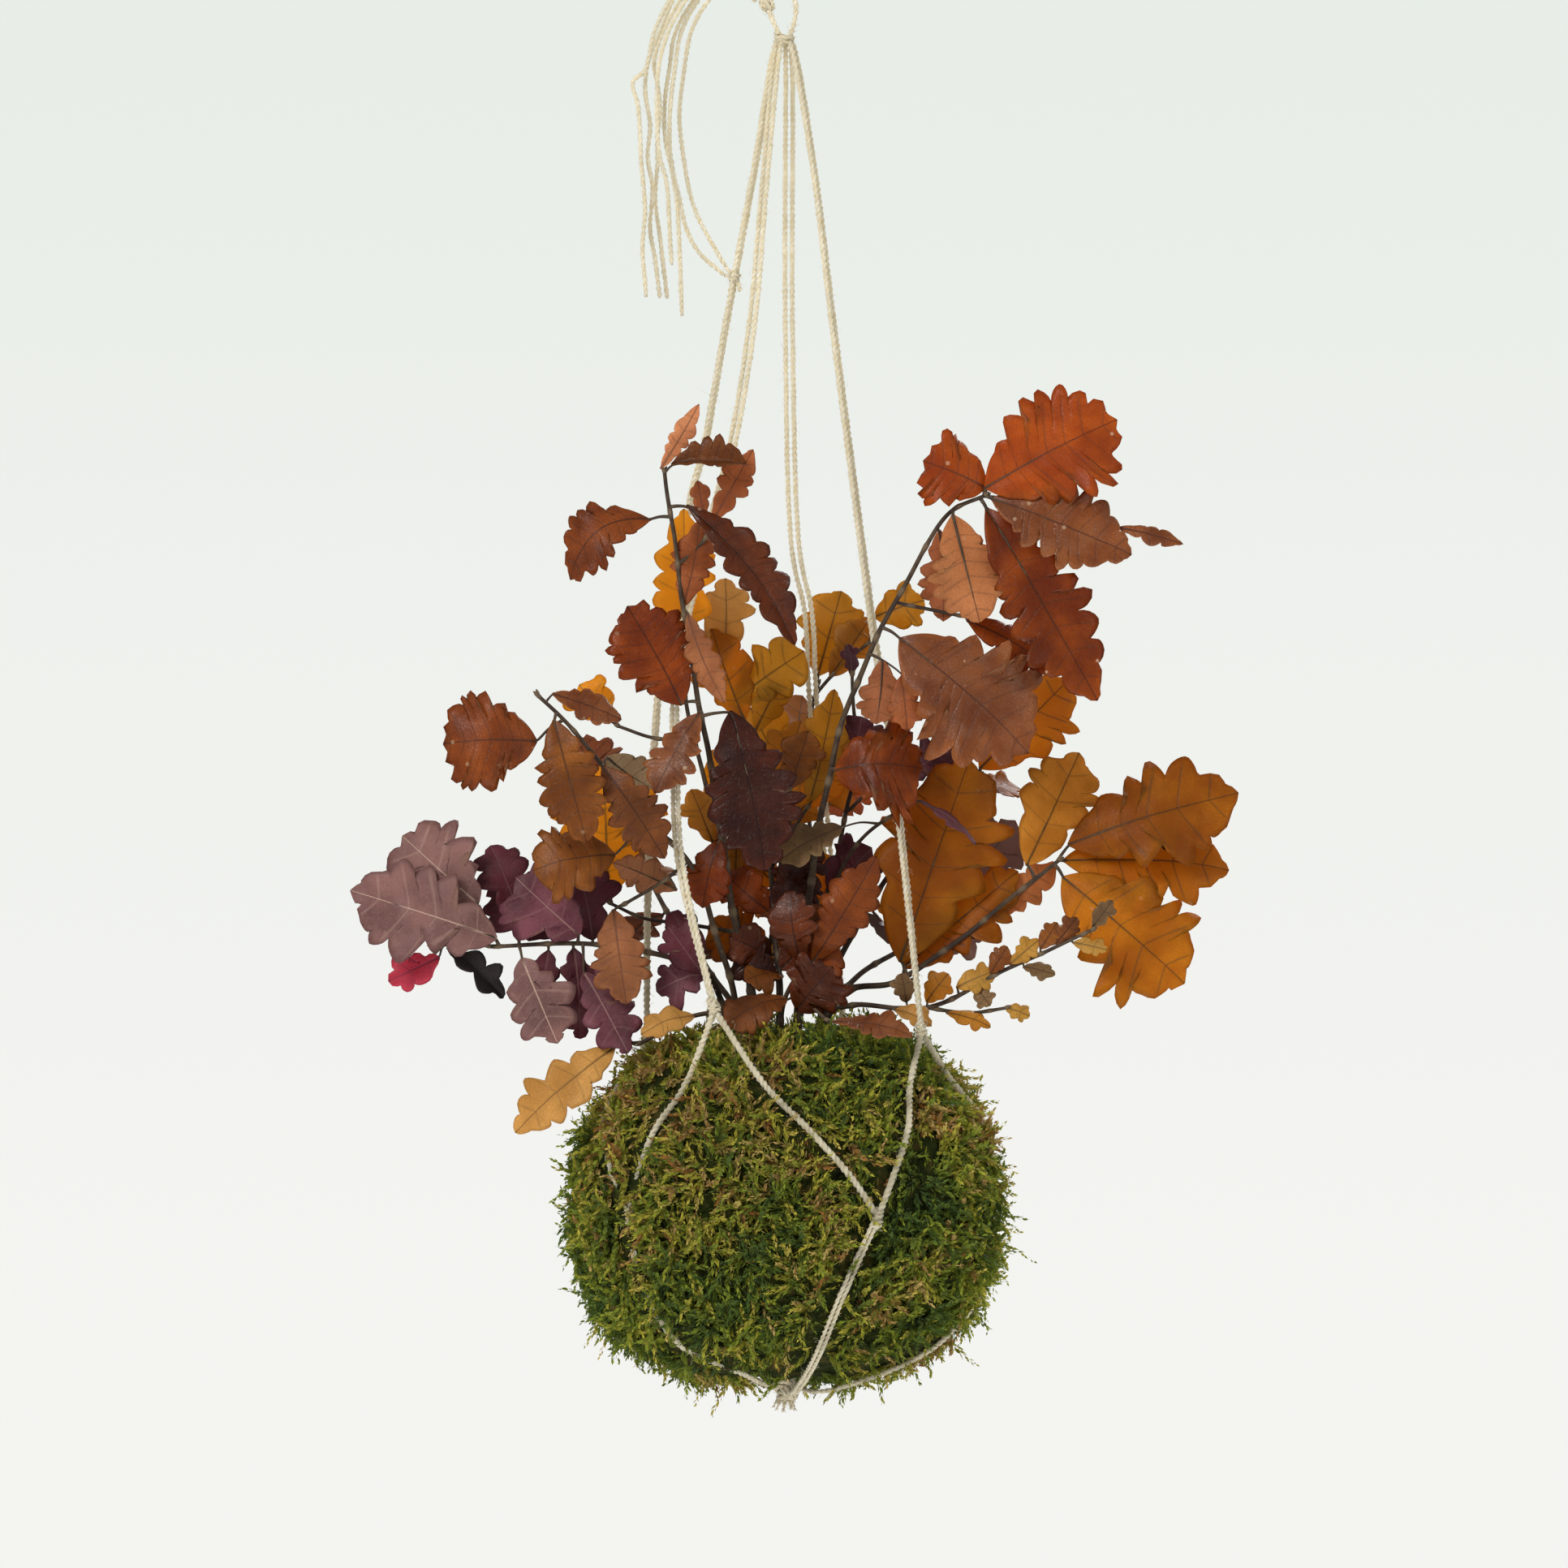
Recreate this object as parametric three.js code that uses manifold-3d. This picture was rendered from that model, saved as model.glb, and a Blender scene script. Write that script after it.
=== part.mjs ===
// Kokedama: a moss ball with preserved oak branches, hung in a knotted net of twine.
// Millimetres, +Z up, the viewer looks along +Y. The origin is where the hanging loop bears on its hook.

import * as THREE from 'three';
import { mergeVertices } from 'three/addons/utils/BufferGeometryUtils.js';
import Module from 'manifold-3d';

const wasm = await Module();
wasm.setup();

// Driving dimensions

const GAP = 0.3; // clearance between neighbouring pieces
const CROWN = new THREE.Vector3(0, 0, -410); // where the stems leave the ball
const BALL_CENTRE = new THREE.Vector3(1, 0, -87); // from the crown
const BALL_RADIUS = 84; // level half width of the ball under its shoots
const BALL_HALF_HEIGHT = 71;
const BALL_SQUARENESS = 2.5; // 2 is an ellipse, more is squarer
const MOSS_THICKNESS = 10;
const MOSS_RELIEF = 3.4;
const MOUTH_RADIUS = 29; // opening of the moss cover round the stems
const TWINE = 2.2; // diameter of one strand
const NET_SIDES = 4; // of a strand that is held at both ends
const TAIL_SIDES = 6; // of a strand that hangs free
const KNOT_RADIUS = 3.3;
const STEM_ROOT = -32; // depth of the cut ends of the stems in the soil, from the crown
const STEM_SIDES = 4;
const BUD = 1.7; // radius of the bud at a stem's tip
const BLADE = 0.8; // thickness of a leaf blade
const PETIOLE = 0.75; // half width of a leaf stalk
const LOBE_LENGTHS = [14, 27, 46, 64]; // a longer leaf has one more pair of lobes past each
const LOBE_UNEVENNESS = 0.16; // difference between the two sides, as a share of their reach
const EDGE_WAVE = { out: 0.9, in: -0.4 }; // rise of the lobes' tips and of the cuts between them

// Shares of a blade's length
const BLADE_START = 0.07;
const FIRST_CUT = 0.12;
const LOBED_STRETCH = 0.78;
const BLADE_END = 0.985;
const TWIST_CENTRE = 0.3; // where a twisted blade still faces its own way

// Colours, each with its roughness

const FINISHES = {
  twine: [0xe6d6b4, 0.9],
  moss: [0x5a6a1c, 1.0],
  soil: [0x2e221a, 1.0],
  rust: [0x8a3d1c, 0.5],
  brown: [0x5b2a1c, 0.5],
  ochre: [0xb3761c, 0.5],
  plum: [0x5c2c40, 0.6],
  tan: [0xa8844c, 0.6],
};

// How the outline of each kind of oak leaf is cut

const OUTLINES = {
  bristled: { depth: 0.28, lean: 0.05, widest: 0.58 },
  pointed: { depth: 0.36, lean: 0.06, widest: 0.6 },
  rounded: { depth: 0.38, lean: 0.03, widest: 0.64 },
};

// Branches. A stem is a list of points from its root, with its radius there and at its tip.
// A leaf is [base, tip, width, [azimuth, elevation] of its upper face, [arch, fold, twist, sweep]].
// Points are from the crown. Azimuth 0 faces the viewer and 90 faces +X.

const BRANCHES = {
  rust_branch_left: {
    finish: 'rust',
    outline: 'bristled',
    stems: [
      [[[-9, -12, STEM_ROOT], [-11, -13, -8], [-20, -20, 31], [-24, -28, 55], [-29, -37, 88],
        [-37, -46, 135], [-43, -50, 175], [-48, -52, 212]], 1.6, 0.8],
      [[[-43, -50, 175], [-33, -47, 184], [-29, -47, 190]], 0.8, 0.7],
    ],
    leaves: [
      [[-50, -53, 213], [-34, -53, 239.5], 8, [10, 0], [2, 0, 10, 0]],
      [[-46, -54, 215], [-15, -57, 214.5], 14, [10, 40], [3, 0.8, 0, 0]],
      [[-53, -53, 193], [-86, -59, 169], 23, [-10, 10], [5, 0, -10, -8]],
      [[-40, -55, 199.5], [5, -61, 143], 22, [30, 20], [6, 0.4, 10, 0]],
      [[-41, -47, 157], [-34, -45, 193], 15, [20, 0], [3, 0, 0, 0]],
      [[-29, -47, 192], [-12.5, -49, 221.5], 12, [0, 0], [3, 0, 10, 0]],
      [[-32, -46, 194], [-35, -47, 209], 7, [0, 0], [1, 0, 0, 0]],
      [[-39, -51, 156], [-24.5, -55, 119], 12, [-20, 0], [4, 0, 10, 0]],
      [[-41, -47, 117.5], [-63, -51, 158], 32, [10, 5], [4, 0, 0, 0]],
      [[-34, -45, 115.5], [-52, -50, 82.5], 19, [-20, 10], [3, 0, 0, 0]],
      [[-22, -40, 117], [-8, -44, 51], 34, [15, 10], [6, 0, 10, 0]],
    ],
  },
  rust_branch_arching: {
    finish: 'rust',
    outline: 'bristled',
    stems: [
      [[[-17, -9, STEM_ROOT], [-19, -12, -8], [-26, -24, 20], [-39, -34, 55], [-59, -43, 75],
        [-74, -48, 95], [-89, -52, 112], [-99, -54, 122]], 1.4, 0.8],
      [[[-39, -34, 55], [-50, -32, 46], [-64, -29, 38]], 0.8, 0.7],
    ],
    leaves: [
      [[-99, -55, 103.5], [-137, -58, 102.5], 38, [-5, 10], [6, 0, -10, 0]],
      [[-93, -56, 113], [-79.5, -60, 63], 24, [0, 0], [5, 0, 10, 0]],
      [[-74, -51, 94], [-48, -55, 56.5], 20, [10, 5], [5, 0, 0, 0]],
      [[-94, -51, 123], [-66, -46, 112], 13, [0, 30], [2, 0, 0, 0]],
      [[-72, -44, 97.5], [-53.5, -42, 85], 20, [180, -20], [4, 0, 0, 0]],
      [[-68, -36, 57.5], [-101.5, -42, 51], 28, [0, 20], [6, 0, 0, 0]],
      [[-43, -31, 43], [-69.5, -29, 54.5], 13, [150, 0], [2, 0, 0, 0]],
      [[-69.5, -29, 36], [-64, -33, -3], 21, [0, 0], [4, 0, 0, 0]],
    ],
  },
  rust_branch_right: {
    finish: 'rust',
    outline: 'bristled',
    stems: [
      [[[6, -14, STEM_ROOT], [6, -15, -8], [8, -17, 20], [11, -20, 48], [18, -25, 88],
        [25, -29, 115], [36, -34, 142], [58, -41, 183], [68, -43, 197], [81, -44, 203]], 1.6, 0.8],
      [[[45, -37, 160], [60, -36, 157], [74, -36, 154]], 0.8, 0.7],
    ],
    leaves: [
      [[80.5, -45, 205.5], [134, -51, 233.5], 44, [0, 10], [5, 0, 0, 0]],
      [[82, -42, 208], [61.5, -47, 217], 23, [-20, 30], [3, 0, 0, 0]],
      [[83, -46, 202], [140, -53, 178.5], 30, [0, 15], [5, 0, 0, 0]],
      [[81, -42, 199.5], [126.5, -47, 120], 32, [0, 10], [7, 0, 0, 0]],
      [[68, -47, 196], [79, -53, 151.5], 27, [180, 5], [4, 0, 0, 0]],
      [[63, -37, 190], [65, -33, 152.5], 18, [160, 0], [3, 0, 0, 0]],
      [[73.5, -37, 153], [113, -38, 131.5], 18, [0, 30], [3, 0, 0, 0]],
      [[46, -42, 146], [98.5, -50, 99], 50, [-10, 25], [7, 0, 0, 0]],
      [[40, -38, 137], [37.5, -43, 110.5], 17, [170, 0], [3, 0, 0, 0]],
      [[20, -31, 91.5], [56, -38, 93], 38, [20, 20], [6, 0, 0, 0]],
      [[48, -39, 131], [50, -42, 108], 14, [0, 0], [2, 0, 0, 0]],
    ],
  },
  rust_branch_back: {
    finish: 'rust',
    outline: 'bristled',
    stems: [
      [[[4, 16, STEM_ROOT], [5, 19, -8], [8, 40, 16], [12, 64, 40], [12, 86, 60], [10, 104, 80]],
        1.5, 0.8],
    ],
    leaves: [
      [[10, 106, 83], [0, 128, 118], 28, [180, 10], [5, 0, 0, 0]],
      [[12, 98, 75], [38, 118, 96], 26, [150, 20], [5, 0, 0, 0]],
      [[11, 88, 63], [-16, 112, 70], 26, [200, 20], [5, 0, 0, 0]],
      [[13, 72, 48], [36, 92, 36], 24, [150, 30], [5, 0, 0, 0]],
      [[11, 60, 36], [-12, 82, 30], 24, [200, 30], [5, 0, 0, 0]],
    ],
  },
  rust_branch_back_left: {
    finish: 'brown',
    outline: 'bristled',
    stems: [
      [[[-18, 9, STEM_ROOT], [-20, 12, -8], [-32, 30, 10], [-48, 52, 32], [-62, 68, 56],
        [-72, 78, 78]], 1.4, 0.8],
    ],
    leaves: [
      [[-73, 79, 81], [-88, 92, 106], 26, [200, 10], [5, 0, 0, 0]],
      [[-66, 70, 63], [-92, 74, 58], 24, [220, 10], [5, 0, 0, 0]],
      [[-56, 63, 45], [-58, 90, 60], 26, [190, 20], [5, 0, 0, 0]],
      [[-50, 54, 32], [-70, 66, 16], 22, [220, 20], [4, 0, 0, 0]],
      [[-36, 38, 18], [-36, 66, 12], 24, [190, 30], [4, 0, 0, 0]],
    ],
  },
  brown_leaves_low: {
    finish: 'brown',
    outline: 'bristled',
    stems: [
      [[[-1, -19, STEM_ROOT], [-1, -21, -8], [3, -24, 4], [9, -26, 12]], 1.3, 0.8],
      [[[3, -24, 4], [10, -34, -3], [17, -41, -9]], 0.8, 0.7],
    ],
    leaves: [
      [[2, -32, -1], [-25, -44, -12], 20, [-10, 50], [4, 0, 0, 0]],
      [[5, -31, -6], [20, -36, 12], 26, [10, 20], [5, 0, 0, 0]],
      [[19, -42, -10], [52, -50, -16], 14, [10, 50], [3, 0, 0, 0]],
      [[11, -27, 13], [37.5, -31, 57], 20, [10, 0], [5, 0, 0, 0]],
      [[7, -27, 14], [2, -31, 43], 19, [-15, 0], [4, 0, 0, 0]],
    ],
  },
  ochre_branch_right: {
    finish: 'ochre',
    outline: 'pointed',
    stems: [
      [[[17, -3, STEM_ROOT], [19, -4, -8], [27, -6, 2], [45, -8, 5], [71, -9, 22], [91, -10, 38],
        [112, -12, 55]], 1.5, 0.8],
    ],
    leaves: [
      [[47, -10, 12], [75.5, -15, 96], 50, [0, 5], [3, 0, 0, 0]],
      [[48, -5, 10], [96, -3, 50], 30, [-10, 10], [3, 0, 0, 0]],
      [[99, -8, 52], [121, -5, 99], 31, [0, 0], [4, 0, 0, 0]],
      [[115, -13, 61], [185, -18, 83], 41, [0, 15], [6, 0, 0, 0]],
      [[113, -10, 55], [182, -7, 51], 34, [0, 25], [5, 0, 0, 0]],
      [[113, -14, 49], [163, -21, 5], 48, [0, 10], [6, 0, 0, 0]],
      [[86, -5, 31], [112, 3, 54], 14, [20, 20], [2, 0, 0, 0]],
    ],
  },
  ochre_branch_back_left: {
    finish: 'ochre',
    outline: 'pointed',
    stems: [
      [[[-12, 2, STEM_ROOT], [-13, 3, -8], [-18, 4, 25], [-25, 4, 60], [-36, 3, 100],
        [-42, 2, 131]], 1.4, 0.8],
      [[[-18, 4, 25], [-42, 6, 29], [-58, 6, 31], [-71, 6, 37]], 0.9, 0.7],
      [[[-37, 3, 105], [-52, 4, 105], [-68, 4, 110]], 0.8, 0.7],
    ],
    leaves: [
      [[-43.5, 0, 131], [-41, -4, 199], 24, [10, 0], [4, 0, 0, 0]],
      [[-72, 4, 40], [-74, 0, 94], 42, [0, 0], [4, 0, 0, 0]],
      [[-29, 2, 62], [-38, -2, 84], 15, [0, 0], [3, 0, 0, 0]],
      [[-20, 2, 48], [-22, -2, 78], 15, [20, 0], [3, 0, 0, 0]],
      [[-72, 3, 112], [-84, 0, 127], 20, [0, 0], [3, 0, 0, 0]],
    ],
  },
  ochre_branch_centre: {
    finish: 'ochre',
    outline: 'pointed',
    stems: [
      [[[-2, 8, STEM_ROOT], [-2, 9, -8], [-4, 11, 30], [-8, 13, 70], [-14, 15, 105],
        [-25, 18, 134]], 1.4, 0.8],
      [[[-6, 12, 50], [2, 12, 64], [9, 10, 76]], 0.8, 0.7],
    ],
    leaves: [
      [[-25.5, 18, 137], [-24, 16, 171], 22, [20, 0], [3, 0, 0, 0]],
      [[-20, 15, 121], [8, 11, 141], 25, [0, 10], [3, 0, 0, 0]],
      [[-12, 14, 108], [-1, 12, 130], 14, [0, 0], [2, 0, 0, 0]],
      [[-6, 12, 74], [7, 9, 112], 24, [0, 0], [4, 0, 0, 0]],
      [[10, 10, 77], [21, 6, 125], 18, [10, 0], [4, 0, 0, 0]],
    ],
  },
  ochre_branch_back: {
    finish: 'ochre',
    outline: 'pointed',
    stems: [
      [[[-8, 15, STEM_ROOT], [-8, 18, -8], [-4, 34, 30], [2, 50, 70], [8, 60, 105],
        [14, 64, 128]], 1.4, 0.8],
      [[[12, 63, 122], [26, 61, 138], [36, 58, 146]], 0.8, 0.7],
    ],
    leaves: [
      [[14, 65, 131], [24, 66, 167], 27, [0, 0], [4, 0, 0, 0]],
      [[19, 62, 131], [36, 60, 156], 18, [10, 0], [3, 0, 0, 0]],
      [[37.5, 58, 156], [58.5, 54, 163], 20, [0, 10], [3, 0, 0, 0]],
      [[0, 54, 74], [-24, 84, 88], 24, [170, 20], [4, 0, 0, 0]],
      [[7, 64, 102], [8, 98, 124], 26, [180, 30], [4, 0, 0, 0]],
      [[6, 56, 82], [34, 80, 84], 24, [150, 20], [4, 0, 0, 0]],
      [[-4, 40, 38], [-26, 64, 40], 22, [190, 20], [4, 0, 0, 0]],
    ],
  },
  ochre_branch_back_right: {
    finish: 'ochre',
    outline: 'pointed',
    stems: [
      [[[13, 7, STEM_ROOT], [15, 9, -8], [28, 14, 24], [46, 17, 52], [64, 15, 76],
        [80, 12, 90]], 1.4, 0.8],
    ],
    leaves: [
      [[80, 11, 92], [117, 9, 129], 34, [0, 0], [4, 0, 0, 0]],
      [[65, 18, 79], [70, 46, 100], 22, [130, 20], [4, 0, 0, 0]],
      [[50, 20, 55], [68, 50, 60], 24, [150, 30], [4, 0, 0, 0]],
      [[73, 16, 84], [98, 30, 84], 20, [110, 20], [3, 0, 0, 0]],
      [[37, 18, 36], [56, 42, 30], 20, [150, 20], [3, 0, 0, 0]],
    ],
  },
  ochre_leaves_low: {
    finish: 'ochre',
    outline: 'pointed',
    stems: [
      [[[-17, -17, STEM_ROOT], [-19, -19, -9], [-36, -24, -8], [-58, -25, -19]], 1.2, 0.8],
    ],
    leaves: [
      [[-68, -26, -20], [-109, -34, -55], 22, [0, 20], [5, 0, 0, 0]],
      [[-36, -27, -8], [-58, -34, -15], 15, [0, 40], [3, 0, 0, 0]],
    ],
  },
  plum_branch_left: {
    finish: 'plum',
    outline: 'rounded',
    stems: [
      [[[-21, -1, STEM_ROOT], [-24, -4, -8], [-31, -10, 8], [-45, -16, 15], [-79, -20, 21],
        [-120, -22, 20]], 1.4, 0.8],
      [[[-118, -22, 20], [-132, -16, 21], [-143, -13, 20]], 0.8, 0.7],
      [[[-31, -10, 8], [-31, -18, 8], [-32, -24, 8]], 0.8, 0.7],
    ],
    leaves: [
      [[-124, -23, 37], [-155.5, -21, 65], 33, [0, 0], [4, 0, 0, 0]],
      [[-116, -25, 23], [-176, -31, 43], 34, [0, 10], [5, 0, 0, 0]],
      [[-108, -16, 32], [-120, -12, 61], 20, [10, 0], [3, 0, 0, 0]],
      [[-83, -22, 24], [-109, -27, 48], 32, [0, 0], [4, 0, 0, 0]],
      [[-86, -18, 20], [-83, -20, -17.5], 18, [10, 0], [4, 0, 0, 0]],
      [[-82, -23, 10], [-63.5, -30, -23], 19, [10, 0], [4, 0, 0, 0]],
      [[-143, -13, 20], [-159, -11, 18], 13, [0, 0], [2, 0, 0, 0]],
      [[-138, -19, 20], [-114.5, -15, -1], 12, [0, 30], [3, 0.5, 0, 0]],
      [[-107, -26, 16], [-92, -32, -19], 25, [0, 0], [4, 0, 0, 0]],
      [[-33, -25, 9], [-47, -30, 28], 17, [0, 0], [3, 0, 0, 0]],
    ],
  },
  plum_branch_centre: {
    finish: 'plum',
    outline: 'rounded',
    stems: [
      [[[6, 0, STEM_ROOT], [7, 1, -8], [12, 6, 20], [18, 12, 42], [26, 18, 75], [30, 20, 98],
        [28, 20, 131]], 1.3, 0.7],
      [[[26, 18, 75], [36, 10, 84], [45, 6, 88]], 0.8, 0.7],
      [[[18, 12, 42], [34, -6, 66], [53, -25, 79]], 0.8, 0.7],
    ],
    leaves: [
      [[29, 18, 97], [32, 12, 114], 18, [0, 0], [2, 0, 0, 0]],
      [[28, 20, 131], [26, 20, 144], 9, [40, 0], [1, 0, 0, 0]],
      [[46, 5, 88], [72, 2, 101], 18, [0, 20], [3, 0, 0, 0]],
      [[55, -27, 80], [78, -31, 62], 14, [0, 80], [2, 0, 0, 0]],
      [[24, -26, 69], [-2, -33, 55], 16, [0, 30], [3, 0, 0, 0]],
    ],
  },
  plum_branch_back: {
    finish: 'plum',
    outline: 'rounded',
    stems: [
      [[[16, 15, STEM_ROOT], [18, 18, -8], [30, 32, 6], [50, 52, 18], [66, 70, 30],
        [76, 84, 44]], 1.4, 0.8],
    ],
    leaves: [
      [[77, 85, 47], [98, 100, 70], 26, [150, 10], [4, 0, 0, 0]],
      [[70, 77, 37], [62, 106, 54], 26, [170, 20], [4, 0, 0, 0]],
      [[58, 60, 24], [84, 68, 22], 24, [130, 20], [4, 0, 0, 0]],
      [[48, 52, 18], [40, 80, 24], 24, [170, 30], [4, 0, 0, 0]],
    ],
  },
  tan_twig_right: {
    finish: 'tan',
    outline: 'pointed',
    stems: [
      [[[16, -14, STEM_ROOT], [18, -15, -8], [28, -17, -4], [58, -19, -5], [91, -26, 11],
        [125, -38, 27]], 1.2, 0.7],
      [[[58, -19, -5], [76, -21, -7], [90, -23, -5]], 0.8, 0.7],
    ],
    leaves: [
      [[70, -21, 3], [86, -23, 10], 12, [0, 20], [2, 0, 0, 0]],
      [[78, -22, 4], [84, -25, -4], 9, [0, 0], [1, 0, 0, 0]],
      [[92, -27, 13], [104, -29, 23], 9, [0, 10], [1, 0, 0, 0]],
      [[97, -29, 12], [110, -35, 9], 8, [0, 30], [1, 0, 0, 0]],
      [[110, -33, 21], [119, -34, 32], 9, [0, 0], [1, 0, 0, 0]],
      [[117, -36, 22], [131, -41, 19], 8, [0, 20], [1, 0, 0, 0]],
      [[125, -38, 28], [133, -40, 39], 8, [0, 0], [1, 0, 0, 0]],
      [[90, -23, -5], [100, -26, -8], 8, [0, 30], [1, 0, 0, 0]],
    ],
  },
};

// The net of twine. Legs run from the gather under the loop to the side knots, from the origin.

const LEGS = {
  front_left: [[-2.3, -2.6, -20.4], [-8, -8, -78], [-13, -16, -135], [-21, -22, -185], [-29, -27, -215],
    [-43, -35, -274], [-44, -41, -322], [-42, -46, -355], [-28, -54, -415]],
  back_left: [[-3, 2.2, -20.4], [-12, 5, -70], [-24, 9, -135], [-33, 13, -185], [-38, 14, -204],
    [-50, 19, -268], [-56, 25, -356], [-57, 31, -432]],
  back_right: [[1.6, 3.1, -20.4], [2, 15, -135], [5, 27, -228], [10, 31, -252], [12, 35, -288],
    [19, 45, -362], [25, 54, -428]],
  front_right: [[3.3, -1.8, -20.4], [12, -5, -70], [20, -9, -135], [32, -16, -228], [37, -19, -265],
    [43, -22, -302], [47, -25, -338], [56, -31, -425]],
};
const LEG_SPREAD = { top: 2.3, middle: 3.2, bottom: 0.8 }; // between the two strands of a leg
const LEG_STEPS = 9;
const NET_STEPS = 6;
const ON_THE_WAY_DOWN = [[0.3, 37], [0.55, 23], [0.8, 10], [1, 0]]; // share of the turn, latitude
const LOWER_LATITUDES = [0, -20, -40, -58, -74, -86];

// Azimuths on the ball, anticlockwise from +X seen from above
const MID_KNOTS = {
  front: { azimuth: -65, from: ['front_left', 'front_right'] },
  left: { azimuth: -141, from: ['back_left', 'front_left'] },
  right: { azimuth: 12, from: ['front_right', 'back_right'] },
  back: { azimuth: 105, from: ['back_right', 'back_left'] },
};
const NET_LIFT = TWINE / 2 + GAP + 1.1; // from the ball's surface to a strand's axis
const BOTTOM_KNOT = new THREE.Vector3(1.5, 0, -572.6); // from the origin
const BOTTOM_KNOT_RADIUS = 4.2;
const TUFT = { ends: 5, length: 9, least: 2, most: 7, thick: 1.3, thin: 1 };

// The hanging loop over its hook, with the knot beside it and the gather under it, from the origin

const LOOP_ARCH = [[-6, 0, -4], [-4.6, 0, -0.4], [-2.4, 0, 1], [0.6, 0, 1.4], [3.2, 0, 0.4],
  [4.8, 0, -3], [4.6, 0, -9], [2, 0, -18]];
const LOOP_SIDE = [[-6.5, 0, -5], [-4.6, 0, -10], [-1, 0, -18]];
const LOOP_STRAND_SHIFTS = [-1.2, 1.2];
const LOOP_KNOT = new THREE.Vector3(-7.2, 0, -3.5);
const LOOP_KNOT_RADIUS = 4;
const GATHER = { top: -16, bottom: -19.8, upperRadius: 4.2, lowerRadius: 5 };

// Loose ends of the twine: hand-laid routes from the loop's knot, from the origin

const TAILS = {
  kinked: [[-7.8, -1.4, 0.9], [-10, -3, 9], [-17, -4.5, 16], [-26, -5, 18], [-36, -5.5, 13],
    [-45, -5.5, 1], [-53, -5.5, -15], [-57, -5, -31], [-62, -5, -36], [-60, -5, -45],
    [-59, -4.5, -58], [-58.5, -4, -70], [-57, -4, -87], [-58, -4, -104], [-56.5, -4, -124]],
  left_outer: [[-10.1, 0, 0], [-14.5, 0, 8], [-25, 0, 15.5], [-35, -1, 11.5], [-44, -1.5, 1],
    [-51, -1.5, -15], [-56, -1.5, -28], [-57, -0.5, -39], [-55, 0, -53], [-56, 0, -66],
    [-54, 0, -79], [-55, 0, -96], [-53, 0.5, -108], [-51, 1, -124]],
  left_inner: [[-7.8, 1.4, 0.9], [-10, 3, 8], [-17, 4.5, 14], [-26, 4.5, 15.5], [-35, 4, 10],
    [-43, 3, -2], [-50, 2.5, -15], [-53.5, 2.8, -28], [-52, 4, -36], [-51, 4, -46],
    [-52, 4, -57], [-52, 4, -68], [-53, 4, -83], [-51, 4.5, -99], [-48, 4, -124]],
  middle_short: [[-9.6, -2.7, -0.6], [-13, -6, 5], [-22, -8.5, 11], [-31, -9, 8], [-39, -9, -1],
    [-47, -9, -15], [-51, -8.5, -28], [-52, -8, -40], [-52, -8, -53], [-51, -8, -66],
    [-48, -7, -78], [-47, -7, -94], [-46, -7, -111]],
  middle_long: [[-9.6, 2.7, -0.6], [-13, 6, 5], [-21, 8.5, 10.5], [-30, 9, 7], [-38, 8, -2],
    [-45, 8, -15], [-47, 8, -28], [-49, 8, -42], [-49, 7.5, -57], [-46, 7, -72], [-44, 7, -85],
    [-43, 7, -103], [-42, 7, -131]],
  tied_left: [[-11.4, -1.4, -2.1], [-15, -3, 2], [-20, -4, 6.5], [-28, -4.5, 6], [-35, -4.5, -2],
    [-42, -4.5, -15], [-45, -4, -32], [-47, -3, -53], [-46, -2, -70], [-43, 0, -83],
    [-40, 2, -96], [-35, 4, -105], [-24.6, 6.2, -114.3]],
  tied_right: [[-11.4, 1.4, -2.1], [-15, 2, 0.8], [-20, 2.5, 4], [-26, 3, 3], [-32, 3, -3],
    [-38, 2.5, -14], [-41, 3, -30], [-43, 3.5, -49], [-41, 4, -68], [-37.5, 5, -85],
    [-32, 6, -97], [-24, 7.4, -110.8]],
};
const TIE = new THREE.Vector3(-20.4, 7.7, -115); // where two loose ends are tied round a leg
const TIE_RADIUS = 2.9;
const TIE_END = new THREE.Vector3(-18.2, 6, -121);
const TAIL_STEP = 3.6 * TWINE;

// Solids and meshes

function solidOf(geometry) {
  const bare = geometry.clone();
  bare.deleteAttribute('normal');
  bare.deleteAttribute('uv');
  const merged = mergeVertices(bare, 1e-4);
  return new wasm.Manifold(new wasm.Mesh({
    numProp: 3,
    vertProperties: new Float32Array(merged.attributes.position.array),
    triVerts: new Uint32Array(merged.index.array),
  }));
}

function geometryOf(solid) {
  const mesh = solid.getMesh();
  const geometry = new THREE.BufferGeometry();
  geometry.setAttribute('position', new THREE.BufferAttribute(mesh.vertProperties, 3));
  geometry.setIndex(new THREE.BufferAttribute(mesh.triVerts, 1));
  return geometry;
}

function joined(solids) {
  return solids.reduce((whole, next) => whole.add(next));
}

function piece(name, finish, solid) {
  const [color, roughness] = FINISHES[finish];
  const material = new THREE.MeshStandardMaterial({ color, roughness, metalness: 0 });
  const mesh = new THREE.Mesh(geometryOf(solid), material);
  mesh.name = name;
  return mesh;
}

// A number from 0 to 1 that is the same for the same seed
function hash(seed) {
  const wave = Math.sin(seed * 127.1 + 311.7) * 43758.5453;
  return wave - Math.floor(wave);
}

const vector = (point) => new THREE.Vector3(...point);

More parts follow.
